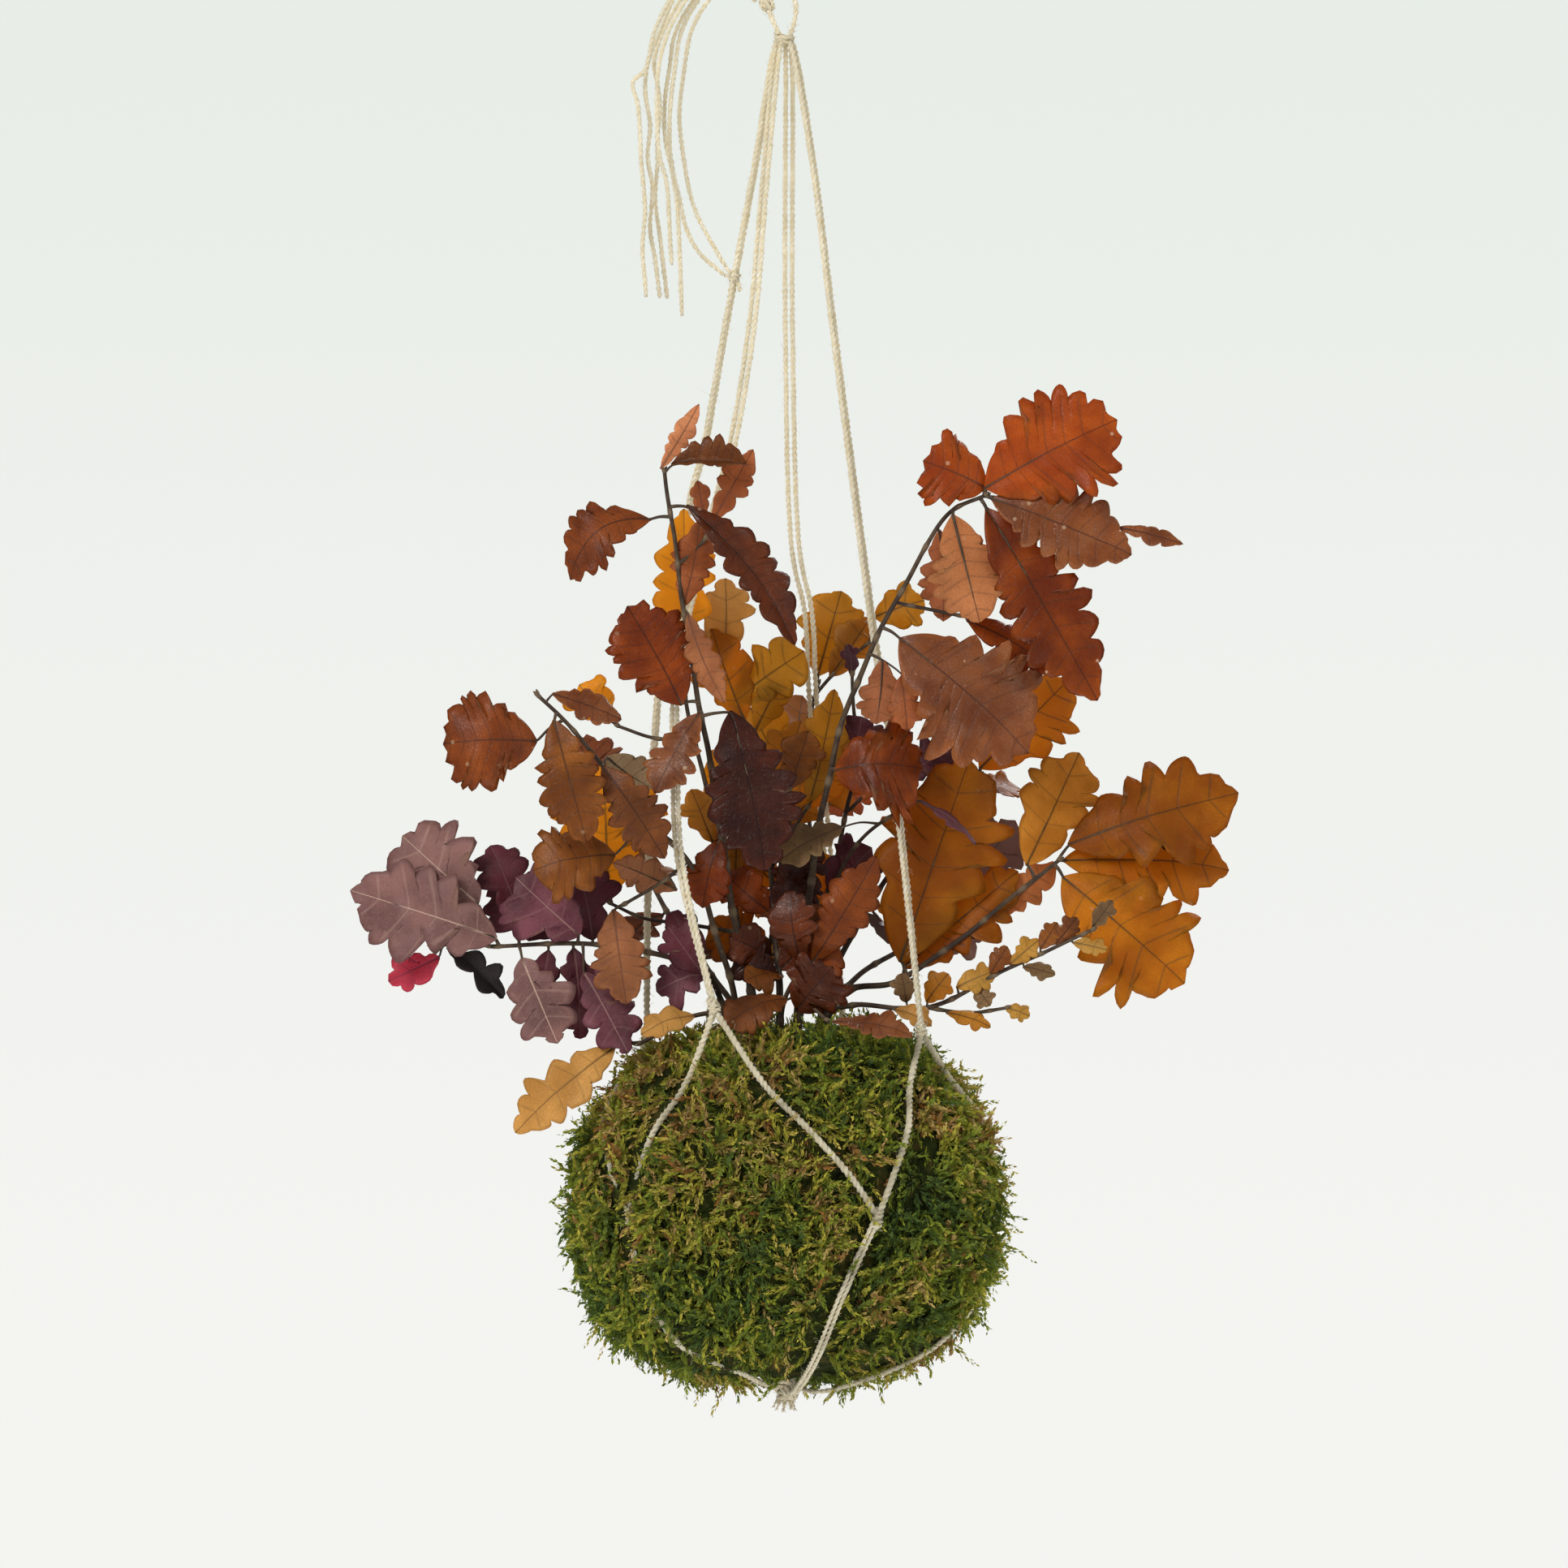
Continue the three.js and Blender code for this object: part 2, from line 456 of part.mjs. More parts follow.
// A tapering round limb along a list of points
function limb(points, firstRadius, lastRadius, sides) {
  const path = points.map(vector);
  const positions = [];
  const faces = [];
  let across = new THREE.Vector3(0.9, 0.4, 0.1); // along none of the limbs
  path.forEach((centre, i) => {
    const before = path[Math.max(i - 1, 0)];
    const after = path[Math.min(i + 1, path.length - 1)];
    const along = after.clone().sub(before).normalize();
    across = across.clone().addScaledVector(along, -across.dot(along)).normalize();
    const other = new THREE.Vector3().crossVectors(along, across);
    const radius = THREE.MathUtils.lerp(firstRadius, lastRadius, i / (path.length - 1));
    for (let k = 0; k < sides; k += 1) {
      const angle = (2 * Math.PI * k) / sides;
      const point = centre.clone()
        .addScaledVector(across, radius * Math.cos(angle))
        .addScaledVector(other, radius * Math.sin(angle));
      positions.push(...point.toArray());
    }
  });
  for (let i = 0; i + 1 < path.length; i += 1) {
    for (let k = 0; k < sides; k += 1) {
      const a = i * sides + k;
      const b = i * sides + ((k + 1) % sides);
      faces.push(a, b, b + sides, a, b + sides, a + sides);
    }
  }
  const last = (path.length - 1) * sides;
  for (let k = 1; k + 1 < sides; k += 1) {
    faces.push(0, k + 1, k, last, last + k, last + k + 1);
  }
  return indexed(positions, faces);
}

function indexed(positions, faces) {
  const geometry = new THREE.BufferGeometry();
  geometry.setAttribute('position', new THREE.Float32BufferAttribute(positions, 3));
  geometry.setIndex(faces);
  return geometry;
}

// A strand of twine along a smooth line through its points
function strand(points, steps, sides, diameter = TWINE) {
  const corners = [];
  for (let k = 0; k < sides; k += 1) {
    const angle = (2 * Math.PI * k) / sides;
    corners.push(new THREE.Vector2(Math.cos(angle), Math.sin(angle)).multiplyScalar(diameter / 2));
  }
  return new THREE.ExtrudeGeometry(new THREE.Shape(corners), {
    steps,
    extrudePath: new THREE.CatmullRomCurve3(points.map((p) => (p.isVector3 ? p : vector(p)))),
  });
}

function lump(centre, radius) {
  return new THREE.OctahedronGeometry(radius, 1).translate(...centre.toArray());
}

// Leaves

function facing([azimuth, elevation]) {
  const a = THREE.MathUtils.degToRad(azimuth);
  const e = THREE.MathUtils.degToRad(elevation);
  return new THREE.Vector3(Math.sin(a) * Math.cos(e), -Math.cos(a) * Math.cos(e), Math.sin(e));
}

// The stations of a blade: where along the midrib, and how far out on each side
function outlineStations(length, width, cut, seed) {
  const lobes = 1 + LOBE_LENGTHS.filter((limit) => length > limit).length;
  const peak = Math.log(0.5) / Math.log(cut.widest);
  const envelope = (t) => (width / 2) * Math.sin(Math.PI * t ** peak) ** 0.75;
  const neck = 1.6 * PETIOLE;
  const stations = [{ t: BLADE_START, left: neck, right: neck }];
  for (let k = 0; k < lobes; k += 1) {
    const sinus = FIRST_CUT + (LOBED_STRETCH * k) / lobes;
    const lobe = sinus + 0.5 / lobes;
    const uneven = LOBE_UNEVENNESS * (hash(seed + 7.3 * k) - 0.5);
    if (k > 0) {
      stations.push({
        t: sinus,
        left: envelope(sinus) * (1 - cut.depth - uneven),
        right: envelope(sinus + 0.02) * (1 - cut.depth + uneven),
      });
    }
    stations.push({
      t: lobe,
      left: envelope(lobe) * (1 + uneven),
      right: envelope(lobe) * (1 - uneven),
      lean: cut.lean,
    });
  }
  stations.push({ t: BLADE_END, left: 1, right: 1 });
  return stations;
}

// A blade is a slab of even thickness, with the strip of its stalk down to the stem
function blade(leaf, outline, stemPoint, seed) {
  const [base, tip, width, face, [arch, fold, twist, sweep]] = leaf;
  const from = vector(base);
  const span = vector(tip).sub(from);
  const length = span.length();
  const along = span.clone().normalize();
  const normal = facing(face);
  normal.addScaledVector(along, -normal.dot(along)).normalize();
  const side = new THREE.Vector3().crossVectors(normal, along);
  const ridged = fold !== 0;

  const rows = [];
  const stalk = from.clone().sub(stemPoint).normalize();
  const stalkSide = side.clone().addScaledVector(stalk, -side.dot(stalk));
  if (stalkSide.length() < 0.4) stalkSide.crossVectors(normal, stalk);
  stalkSide.normalize();
  const stalkNormal = new THREE.Vector3().crossVectors(stalk, stalkSide).normalize();
  if (stalkNormal.dot(normal) < 0) stalkNormal.negate();
  rows.push({
    left: stemPoint.clone().addScaledVector(stalkSide, PETIOLE),
    middle: stemPoint.clone(),
    right: stemPoint.clone().addScaledVector(stalkSide, -PETIOLE),
    normal: stalkNormal,
  });

  outlineStations(length, width, OUTLINES[outline], seed).forEach((station, index) => {
    const { t, left, right, lean = 0 } = station;
    const turn = THREE.MathUtils.degToRad(twist) * (t - TWIST_CENTRE);
    const across = side.clone().applyAxisAngle(along, turn);
    const up = normal.clone().applyAxisAngle(along, turn);
    const bow = 4 * t * (1 - t);
    const middle = from.clone()
      .addScaledVector(along, t * length)
      .addScaledVector(normal, arch * bow)
      .addScaledVector(side, sweep * bow);
    const wave = index % 2 === 0 ? EDGE_WAVE.out : EDGE_WAVE.in;
    const edge = (reach) => middle.clone()
      .addScaledVector(across, reach)
      .addScaledVector(along, lean * length)
      .addScaledVector(up, fold * Math.abs(reach) + (index > 1 ? wave : 0));
    rows.push({ left: edge(left), middle, right: edge(-right), normal: up });
  });

  const columns = ridged ? ['left', 'middle', 'right'] : ['left', 'right'];
  const count = columns.length;
  const positions = [];
  const upper = (row, column) => (row * count + column) * 2;
  rows.forEach((row) => {
    columns.forEach((column) => {
      positions.push(...row[column].clone().addScaledVector(row.normal, BLADE / 2).toArray());
      positions.push(...row[column].clone().addScaledVector(row.normal, -BLADE / 2).toArray());
    });
  });
  const faces = [];
  const quad = (a, b, c, d) => faces.push(a, b, c, a, c, d);
  for (let row = 0; row + 1 < rows.length; row += 1) {
    for (let column = 0; column + 1 < count; column += 1) {
      const a = upper(row, column);
      const b = upper(row, column + 1);
      const c = upper(row + 1, column + 1);
      const d = upper(row + 1, column);
      quad(a, b, c, d);
      faces.push(a + 1, c + 1, b + 1, a + 1, d + 1, c + 1);
    }
    const l = upper(row, 0);
    const nextL = upper(row + 1, 0);
    quad(l, nextL, nextL + 1, l + 1);
    const r = upper(row, count - 1);
    const nextR = upper(row + 1, count - 1);
    quad(r, r + 1, nextR + 1, nextR);
  }
  for (const row of [0, rows.length - 1]) {
    for (let column = 0; column + 1 < count; column += 1) {
      const a = upper(row, column);
      const b = upper(row, column + 1);
      if (row === 0) quad(a, a + 1, b + 1, b);
      else quad(a, b, b + 1, a + 1);
    }
  }
  return indexed(positions, faces);
}

function nearestOnStems(stems, point) {
  let best = null;
  for (const [points] of stems) {
    for (let i = 0; i + 1 < points.length; i += 1) {
      const line = new THREE.Line3(vector(points[i]), vector(points[i + 1]));
      const near = line.closestPointToPoint(point, true, new THREE.Vector3());
      const distance = near.distanceTo(point);
      if (!best || distance < best.distance) best = { near, distance };
    }
  }
  return best.near;
}

function branchSolid({ stems, leaves, outline }, seed) {
  const solids = stems.map(([points, first, last]) => (
    solidOf(limb(points, first, last, STEM_SIDES))));
  stems.forEach(([points]) => {
    solids.push(solidOf(new THREE.OctahedronGeometry(BUD).translate(...points.at(-1))));
  });
  leaves.forEach((leaf, i) => {
    const stemPoint = nearestOnStems(stems, vector(leaf[0]));
    solids.push(solidOf(blade(leaf, outline, stemPoint, seed + 13 * i)));
  });
  return joined(solids);
}

// The ball

// Distance from the ball's centre to its surface at an angle above its level middle
function ballReach(latitude, inset = 0) {
  const level = Math.abs(Math.cos(latitude)) / (BALL_RADIUS - inset);
  const upright = Math.abs(Math.sin(latitude)) / (BALL_HALF_HEIGHT - inset);
  return (level ** BALL_SQUARENESS + upright ** BALL_SQUARENESS) ** (-1 / BALL_SQUARENESS);
}

// A point over the ball, from the ball's centre
function overBall(azimuthDegrees, latitudeDegrees, lift) {
  const azimuth = THREE.MathUtils.degToRad(azimuthDegrees);
  const latitude = THREE.MathUtils.degToRad(latitudeDegrees);
  const reach = ballReach(latitude) + lift;
  return new THREE.Vector3(
    reach * Math.cos(latitude) * Math.cos(azimuth),
    reach * Math.cos(latitude) * Math.sin(azimuth),
    reach * Math.sin(latitude),
  );
}

// Routes of the net over the ball, from the ball's centre

const ballCentre = CROWN.clone().add(BALL_CENTRE);

function sideKnot(leg) {
  return vector(LEGS[leg].at(-1)).sub(ballCentre);
}

function azimuthOf(point) {
  return THREE.MathUtils.radToDeg(Math.atan2(point.y, point.x));
}

function nearerTurn(angle, reference) {
  return angle + 360 * Math.round((reference - angle) / 360);
}

function diagonal(knotAzimuth, leg) {
  const start = sideKnot(leg);
  const from = nearerTurn(azimuthOf(start), knotAzimuth);
  const place = (share, latitude) => (
    overBall(THREE.MathUtils.lerp(from, knotAzimuth, share), latitude, NET_LIFT));
  return [start, ...ON_THE_WAY_DOWN.map(([share, latitude]) => place(share, latitude))];
}

function lowerRun(knotAzimuth, offset) {
  return LOWER_LATITUDES.map((latitude) => (
    overBall(knotAzimuth + offset / Math.cos(THREE.MathUtils.degToRad(latitude)),
      latitude, NET_LIFT)));
}

const netRoutes = Object.values(MID_KNOTS).flatMap(({ azimuth, from }) => [
  ...from.map((leg) => diagonal(azimuth, leg)),
  lowerRun(azimuth, 0),
]);
const routeSamples = netRoutes.flatMap((route) => new THREE.CatmullRomCurve3(route).getPoints(24));
const NET_VALLEY = 11; // how far from a strand the moss starts to rise
const VALLEY_WIDTH = 9;

// The moss bulges between the strands and stays flat under them
function mossReach(azimuth, latitude) {
  const smooth = ballReach(latitude);
  const point = new THREE.Vector3(
    smooth * Math.cos(latitude) * Math.cos(azimuth),
    smooth * Math.cos(latitude) * Math.sin(azimuth),
    smooth * Math.sin(latitude),
  );
  const nearest = Math.min(...routeSamples.map((sample) => sample.distanceTo(point)));
  const freedom = THREE.MathUtils.clamp((nearest - NET_VALLEY) / VALLEY_WIDTH, 0, 1);
  const bumps = 0.5
    + 0.22 * Math.sin(7 * azimuth + 5 * latitude)
    + 0.16 * Math.sin(13 * azimuth - 9 * latitude + 1.3)
    + 0.12 * Math.sin(3 * azimuth + 14 * latitude + 0.4);
  return smooth + MOSS_RELIEF * freedom * THREE.MathUtils.clamp(bumps, 0, 1);
}

const MOSS_SECTORS = 32;
const MOSS_BANDS = 13;
const LINING_SECTORS = MOSS_SECTORS / 2;
const LINING_BANDS = 5;
const MOUTH_LATITUDE = Math.atan2(BALL_HALF_HEIGHT - 3, MOUTH_RADIUS);
const LINING_LATITUDE = Math.atan2(BALL_HALF_HEIGHT - MOSS_THICKNESS - 2, MOUTH_RADIUS - 1);

// Points of one level ring of the ball, from its centre
function ring(sectors, latitude, reachAt) {
  const points = [];
  for (let k = 0; k < sectors; k += 1) {
    const azimuth = (2 * Math.PI * k) / sectors;
    const reach = reachAt(azimuth);
    points.push(reach * Math.cos(latitude) * Math.cos(azimuth),
      reach * Math.cos(latitude) * Math.sin(azimuth), reach * Math.sin(latitude));
  }
  return points;
}

// Triangles between two rings of equal count, the second one further along
function band(first, second, count) {
  const faces = [];
  for (let k = 0; k < count; k += 1) {
    const next = (k + 1) % count;
    faces.push(first + k, first + next, second + next, first + k, second + next, second + k);
  }
  return faces;
}

function fan(pole, first, count, upwards) {
  const faces = [];
  for (let k = 0; k < count; k += 1) {
    const next = (k + 1) % count;
    faces.push(pole, ...(upwards ? [first + k, first + next] : [first + next, first + k]));
  }
  return faces;
}

// A closed shell: up the outside from the bottom to the mouth, then down the lining
function mossCover() {
  const positions = [0, 0, -BALL_HALF_HEIGHT];
  const faces = [];
  const outer = (i) => 1 + (i - 1) * MOSS_SECTORS;
  for (let i = 1; i <= MOSS_BANDS; i += 1) {
    const latitude = THREE.MathUtils.lerp(-Math.PI / 2, MOUTH_LATITUDE, i / MOSS_BANDS);
    positions.push(...ring(MOSS_SECTORS, latitude, (azimuth) => mossReach(azimuth, latitude)));
    if (i > 1) faces.push(...band(outer(i - 1), outer(i), MOSS_SECTORS));
  }
  faces.push(...fan(0, outer(1), MOSS_SECTORS, false));
  const lining = (i) => outer(MOSS_BANDS + 1) + (LINING_BANDS - i) * LINING_SECTORS;
  for (let i = LINING_BANDS; i >= 1; i -= 1) {
    const latitude = THREE.MathUtils.lerp(-Math.PI / 2, LINING_LATITUDE, i / LINING_BANDS);
    positions.push(...ring(LINING_SECTORS, latitude, () => ballReach(latitude, MOSS_THICKNESS)));
    if (i < LINING_BANDS) faces.push(...band(lining(i + 1), lining(i), LINING_SECTORS));
  }
  const mouth = outer(MOSS_BANDS);
  for (let k = 0; k < LINING_SECTORS; k += 1) {
    const rim = mouth + 2 * k;
    const rimEnd = mouth + ((2 * k + 2) % MOSS_SECTORS);
    const inner = lining(LINING_BANDS) + k;
    const innerNext = lining(LINING_BANDS) + ((k + 1) % LINING_SECTORS);
    faces.push(rim, rim + 1, inner, rim + 1, innerNext, inner, rim + 1, rimEnd, innerNext);
  }
  const innerPole = positions.length / 3;
  positions.push(0, 0, -(BALL_HALF_HEIGHT - MOSS_THICKNESS));
  faces.push(...fan(innerPole, lining(1), LINING_SECTORS, true));
  return indexed(positions, faces).translate(...BALL_CENTRE.toArray());
}

const NECK_RADIUS = MOUTH_RADIUS - 3;
const NECK_TOP = BALL_HALF_HEIGHT - 3; // above the ball's centre

// The soil fills the cover on the same grid as its lining, with a neck that rises in its mouth
function soilBlock() {
  const inset = MOSS_THICKNESS + GAP + 0.1;
  const positions = [0, 0, -(BALL_HALF_HEIGHT - inset)];
  const faces = fan(0, 1, LINING_SECTORS, false);
  const addRing = (points) => {
    const first = positions.length / 3;
    positions.push(...points);
    if (first > 1) faces.push(...band(first - LINING_SECTORS, first, LINING_SECTORS));
  };
  for (let i = 1; i <= LINING_BANDS; i += 1) {
    const latitude = THREE.MathUtils.lerp(-Math.PI / 2, LINING_LATITUDE, i / LINING_BANDS);
    addRing(ring(LINING_SECTORS, latitude, () => ballReach(latitude, inset)));
  }
  for (const [radius, height] of [[NECK_RADIUS, NECK_TOP - 2], [NECK_RADIUS - 3, NECK_TOP]]) {
    addRing(ring(LINING_SECTORS, Math.atan2(height, radius), () => Math.hypot(radius, height)));
  }
  const top = positions.length / 3;
  positions.push(0, 0, NECK_TOP + 0.5);
  faces.push(...fan(top, top - LINING_SECTORS, LINING_SECTORS, true));
  return indexed(positions, faces).translate(...BALL_CENTRE.toArray());
}

// A plain hole round the buried part of a stem
function stemHole([points, firstRadius]) {
  const [root, mouth] = points.map(vector);
  const along = mouth.clone().sub(root).normalize();
  const bottom = root.clone().addScaledVector(along, -GAP - 0.1);
  const top = mouth.clone().addScaledVector(along, 2);
  const radius = firstRadius + GAP + 0.25;
  return limb([bottom.toArray(), top.toArray()], radius, radius, STEM_SIDES);
}

function soilCore() {
  const holes = Object.values(BRANCHES).map(({ stems }) => solidOf(stemHole(stems[0])));
  return holes.reduce((soil, hole) => soil.subtract(hole), solidOf(soilBlock()));
}

// The net

function legSolid(points) {
  const path = points.map(vector);
  const lowest = path.at(-1).z;
  const highest = path[0].z;
  const strands = [-1, 1].map((way) => {
    const moved = path.map((point, i) => {
      const share = (point.z - lowest) / (highest - lowest);
      const { top: least, middle, bottom: last } = LEG_SPREAD;
      const swell = least + (middle - least) * Math.sin(Math.PI * share);
      const spread = i === path.length - 1 ? last : swell;
      const outward = new THREE.Vector3(point.x, point.y, 0).normalize();
      const across = new THREE.Vector3(-outward.y, outward.x, 0);
      return point.clone().addScaledVector(across, (way * spread) / 2);
    });
    return solidOf(strand(moved, LEG_STEPS, NET_SIDES));
  });
  return joined([...strands, solidOf(lump(path.at(-1), KNOT_RADIUS))]);
}

// Two loose ends are knotted round a leg, and one sticks out
function tieSolid() {
  const end = limb([TIE.toArray(), TIE_END.toArray()], TWINE / 2, TWINE / 2, 5);
  return solidOf(lump(TIE, TIE_RADIUS)).add(solidOf(end));
}

const DOUBLE_OFFSET = 0.75; // degrees at the level middle between the axis and each lower strand

function netSolid({ azimuth, from }) {
  const knotRadius = KNOT_RADIUS - 0.4;
  const knot = overBall(azimuth, 0, knotRadius + GAP);
  const diagonals = from.map((leg) => {
    const route = diagonal(azimuth, leg);
    const towards = route[1].clone().sub(route[0]).normalize();
    route[0] = route[0].clone().addScaledVector(towards, KNOT_RADIUS + GAP + 0.1);
    return solidOf(strand(route, NET_STEPS, NET_SIDES));
  });
  const doubles = [-1, 1].map((way) => (
    solidOf(strand(lowerRun(azimuth, way * DOUBLE_OFFSET), NET_STEPS, NET_SIDES))));
  const mesh = joined([...diagonals, ...doubles, solidOf(lump(knot, knotRadius))]);
  return mesh.translate(ballCentre.toArray());
}

function bottomKnot() {
  const tuft = [];
  for (let k = 0; k < TUFT.ends; k += 1) {
    const angle = (2 * Math.PI * k) / TUFT.ends;
    const spread = THREE.MathUtils.lerp(TUFT.least, TUFT.most, hash(k + 3));
    const start = BOTTOM_KNOT.clone().add(new THREE.Vector3(0, 0, -1));
    const end = BOTTOM_KNOT.clone().add(new THREE.Vector3(
      spread * Math.cos(angle), spread * Math.sin(angle), 2 * hash(k + 9) - TUFT.length));
    tuft.push(solidOf(limb([start.toArray(), end.toArray()], TUFT.thick, TUFT.thin, 4)));
  }
  const knot = lump(BOTTOM_KNOT, BOTTOM_KNOT_RADIUS);
  return joined([solidOf(knot), ...tuft]);
}

function hangingLoop() {
  const strands = LOOP_STRAND_SHIFTS.flatMap((shift) => {
    const shifted = (points) => points.map(([x, y, z]) => [x, y + shift, z]);
    return [solidOf(strand(shifted(LOOP_ARCH), 7, 5)), solidOf(strand(shifted(LOOP_SIDE), 2, 5))];
  });
  const { top, bottom, upperRadius, lowerRadius } = GATHER;
  const gather = new THREE.CylinderGeometry(upperRadius, lowerRadius, top - bottom, 10)
    .rotateX(Math.PI / 2)
    .translate(0, 0, (top + bottom) / 2);
  return joined([...strands, solidOf(gather), solidOf(lump(LOOP_KNOT, LOOP_KNOT_RADIUS))]);
}

function tailSolid(points) {
  const curve = new THREE.CatmullRomCurve3(points.map(vector));
  const steps = Math.round(curve.getLength() / TAIL_STEP);
  return solidOf(strand(points, steps, TAIL_SIDES));
}

// The whole plant

const kokedama = new THREE.Group();

const plant = new THREE.Group();
plant.position.copy(CROWN);
plant.add(piece('moss_cover', 'moss', solidOf(mossCover())));
plant.add(piece('soil_core', 'soil', soilCore()));
Object.entries(BRANCHES).forEach(([name, branch], i) => {
  plant.add(piece(name, branch.finish, branchSolid(branch, 100 * i)));
});
kokedama.add(plant);

Object.entries(LEGS).forEach(([name, points]) => {
  const solid = name === 'back_left' ? legSolid(points).add(tieSolid()) : legSolid(points);
  kokedama.add(piece(`leg_${name}`, 'twine', solid));
});
Object.entries(MID_KNOTS).forEach(([name, run]) => {
  kokedama.add(piece(`net_${name}`, 'twine', netSolid(run)));
});
kokedama.add(piece('bottom_knot', 'twine', bottomKnot()));
kokedama.add(piece('hanging_loop', 'twine', hangingLoop()));
Object.entries(TAILS).forEach(([name, points]) => {
  kokedama.add(piece(`tail_${name}`, 'twine', tailSolid(points)));
});

export default kokedama;
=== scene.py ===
"""Kokedama: a moss ball with preserved oak branches in a net of twine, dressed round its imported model.

Tables and sizes are in millimetres, from the point where the hanging loop bears on its hook; those of the
branches and of the ball are from the crown, where the stems leave the moss. Blender gets metres.
"""

import logging
import math
from dataclasses import dataclass
from enum import Enum

import bpy
import numpy as np
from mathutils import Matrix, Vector, noise
from mathutils.kdtree import KDTree


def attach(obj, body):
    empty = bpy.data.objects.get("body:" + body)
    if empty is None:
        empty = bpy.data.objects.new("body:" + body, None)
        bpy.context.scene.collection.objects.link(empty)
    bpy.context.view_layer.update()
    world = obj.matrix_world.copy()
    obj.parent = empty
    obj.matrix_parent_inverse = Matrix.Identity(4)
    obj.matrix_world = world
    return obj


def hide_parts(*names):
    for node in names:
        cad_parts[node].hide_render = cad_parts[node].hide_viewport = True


log = logging.getLogger("kokedama")

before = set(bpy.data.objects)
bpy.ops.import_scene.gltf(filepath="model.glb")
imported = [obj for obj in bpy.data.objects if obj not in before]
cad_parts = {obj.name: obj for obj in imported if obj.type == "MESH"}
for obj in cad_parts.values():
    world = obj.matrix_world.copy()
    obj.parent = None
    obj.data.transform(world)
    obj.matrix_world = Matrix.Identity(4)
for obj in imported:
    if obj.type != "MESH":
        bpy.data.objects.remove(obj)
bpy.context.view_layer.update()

MM = 0.001
CROWN = np.array((0.0, 0.0, -410.0))
BALL_CENTRE = np.array((1.0, 0.0, -497.0))
BALL_RADIUS = 84.0
BALL_HALF_HEIGHT = 71.0
BALL_SQUARENESS = 2.5
TWINE = 2.2
NET_GAP = 0.3  # between the moss and a strand that just lies on it
NET_BOW = 1.1  # how much further out the strands stand
NET_LIFT = TWINE / 2 + NET_GAP + NET_BOW

Point = tuple[float, float, float]
Route = tuple[Point, ...]
Colour = tuple[int, int, int]


def linear(colour: Colour) -> tuple[float, float, float, float]:
    """A colour of 0-255 screen values as linear light with full cover."""
    shares = [value / 255 for value in colour]
    return (*[s / 12.92 if s <= 0.04045 else ((s + 0.055) / 1.055) ** 2.4 for s in shares], 1.0)


def tinted(colour: tuple[float, ...], shares: Point, lift: Point = (0.0, 0.0, 0.0)) -> tuple[float, ...]:
    """A linear colour with each part times its share and lifted, 1 at most."""
    return (*[min(1.0, part * share + extra) for part, share, extra in zip(colour, shares, lift)], 1.0)


def unit(vector: np.ndarray) -> np.ndarray:
    """Vectors, one a row, at length one."""
    return vector / np.maximum(np.linalg.norm(vector, axis=-1, keepdims=True), 1e-9)


def smoothstep(low: float, high: float, value: np.ndarray) -> np.ndarray:
    """A soft step from 0 at low to 1 at high."""
    share = np.clip((value - low) / (high - low), 0.0, 1.0)
    return share * share * (3 - 2 * share)


# Shader nodes


class Value:
    """A number socket of a shader, with the arithmetic that adds its Math nodes."""

    def __init__(self, shader: "Shader", socket: bpy.types.NodeSocket) -> None:
        """Wraps a socket of the given shader."""
        self.shader = shader
        self.socket = socket

    def _math(self, operation: str, *values: "Value | float") -> "Value":
        """The result of one Math node."""
        return self.shader.node("ShaderNodeMath", {"operation": operation}, dict(enumerate(values)))

    def __add__(self, other: "Value | float") -> "Value":
        """Self plus other."""
        return self._math("ADD", self, other)

    __radd__ = __add__

    def __sub__(self, other: "Value | float") -> "Value":
        """Self minus other."""
        return self._math("SUBTRACT", self, other)

    def __rsub__(self, other: "Value | float") -> "Value":
        """Other minus self."""
        return self._math("SUBTRACT", other, self)

    def __mul__(self, other: "Value | float") -> "Value":
        """Self times other."""
        return self._math("MULTIPLY", self, other)

    __rmul__ = __mul__

    def fraction(self) -> "Value":
        """The part after the decimal point."""
        return self._math("FRACT", self)

    def size(self) -> "Value":
        """The number without its sign."""
        return self._math("ABSOLUTE", self)

    def band(self, low: float, high: float) -> "Value":
        """A soft step from 0 at low to 1 at high, or from 1 to 0 where high is the smaller."""
        return self.shader.node(
            "ShaderNodeMapRange", {"interpolation_type": "SMOOTHSTEP", "clamp": True},
            {"Value": self, "From Min": low, "From Max": high})


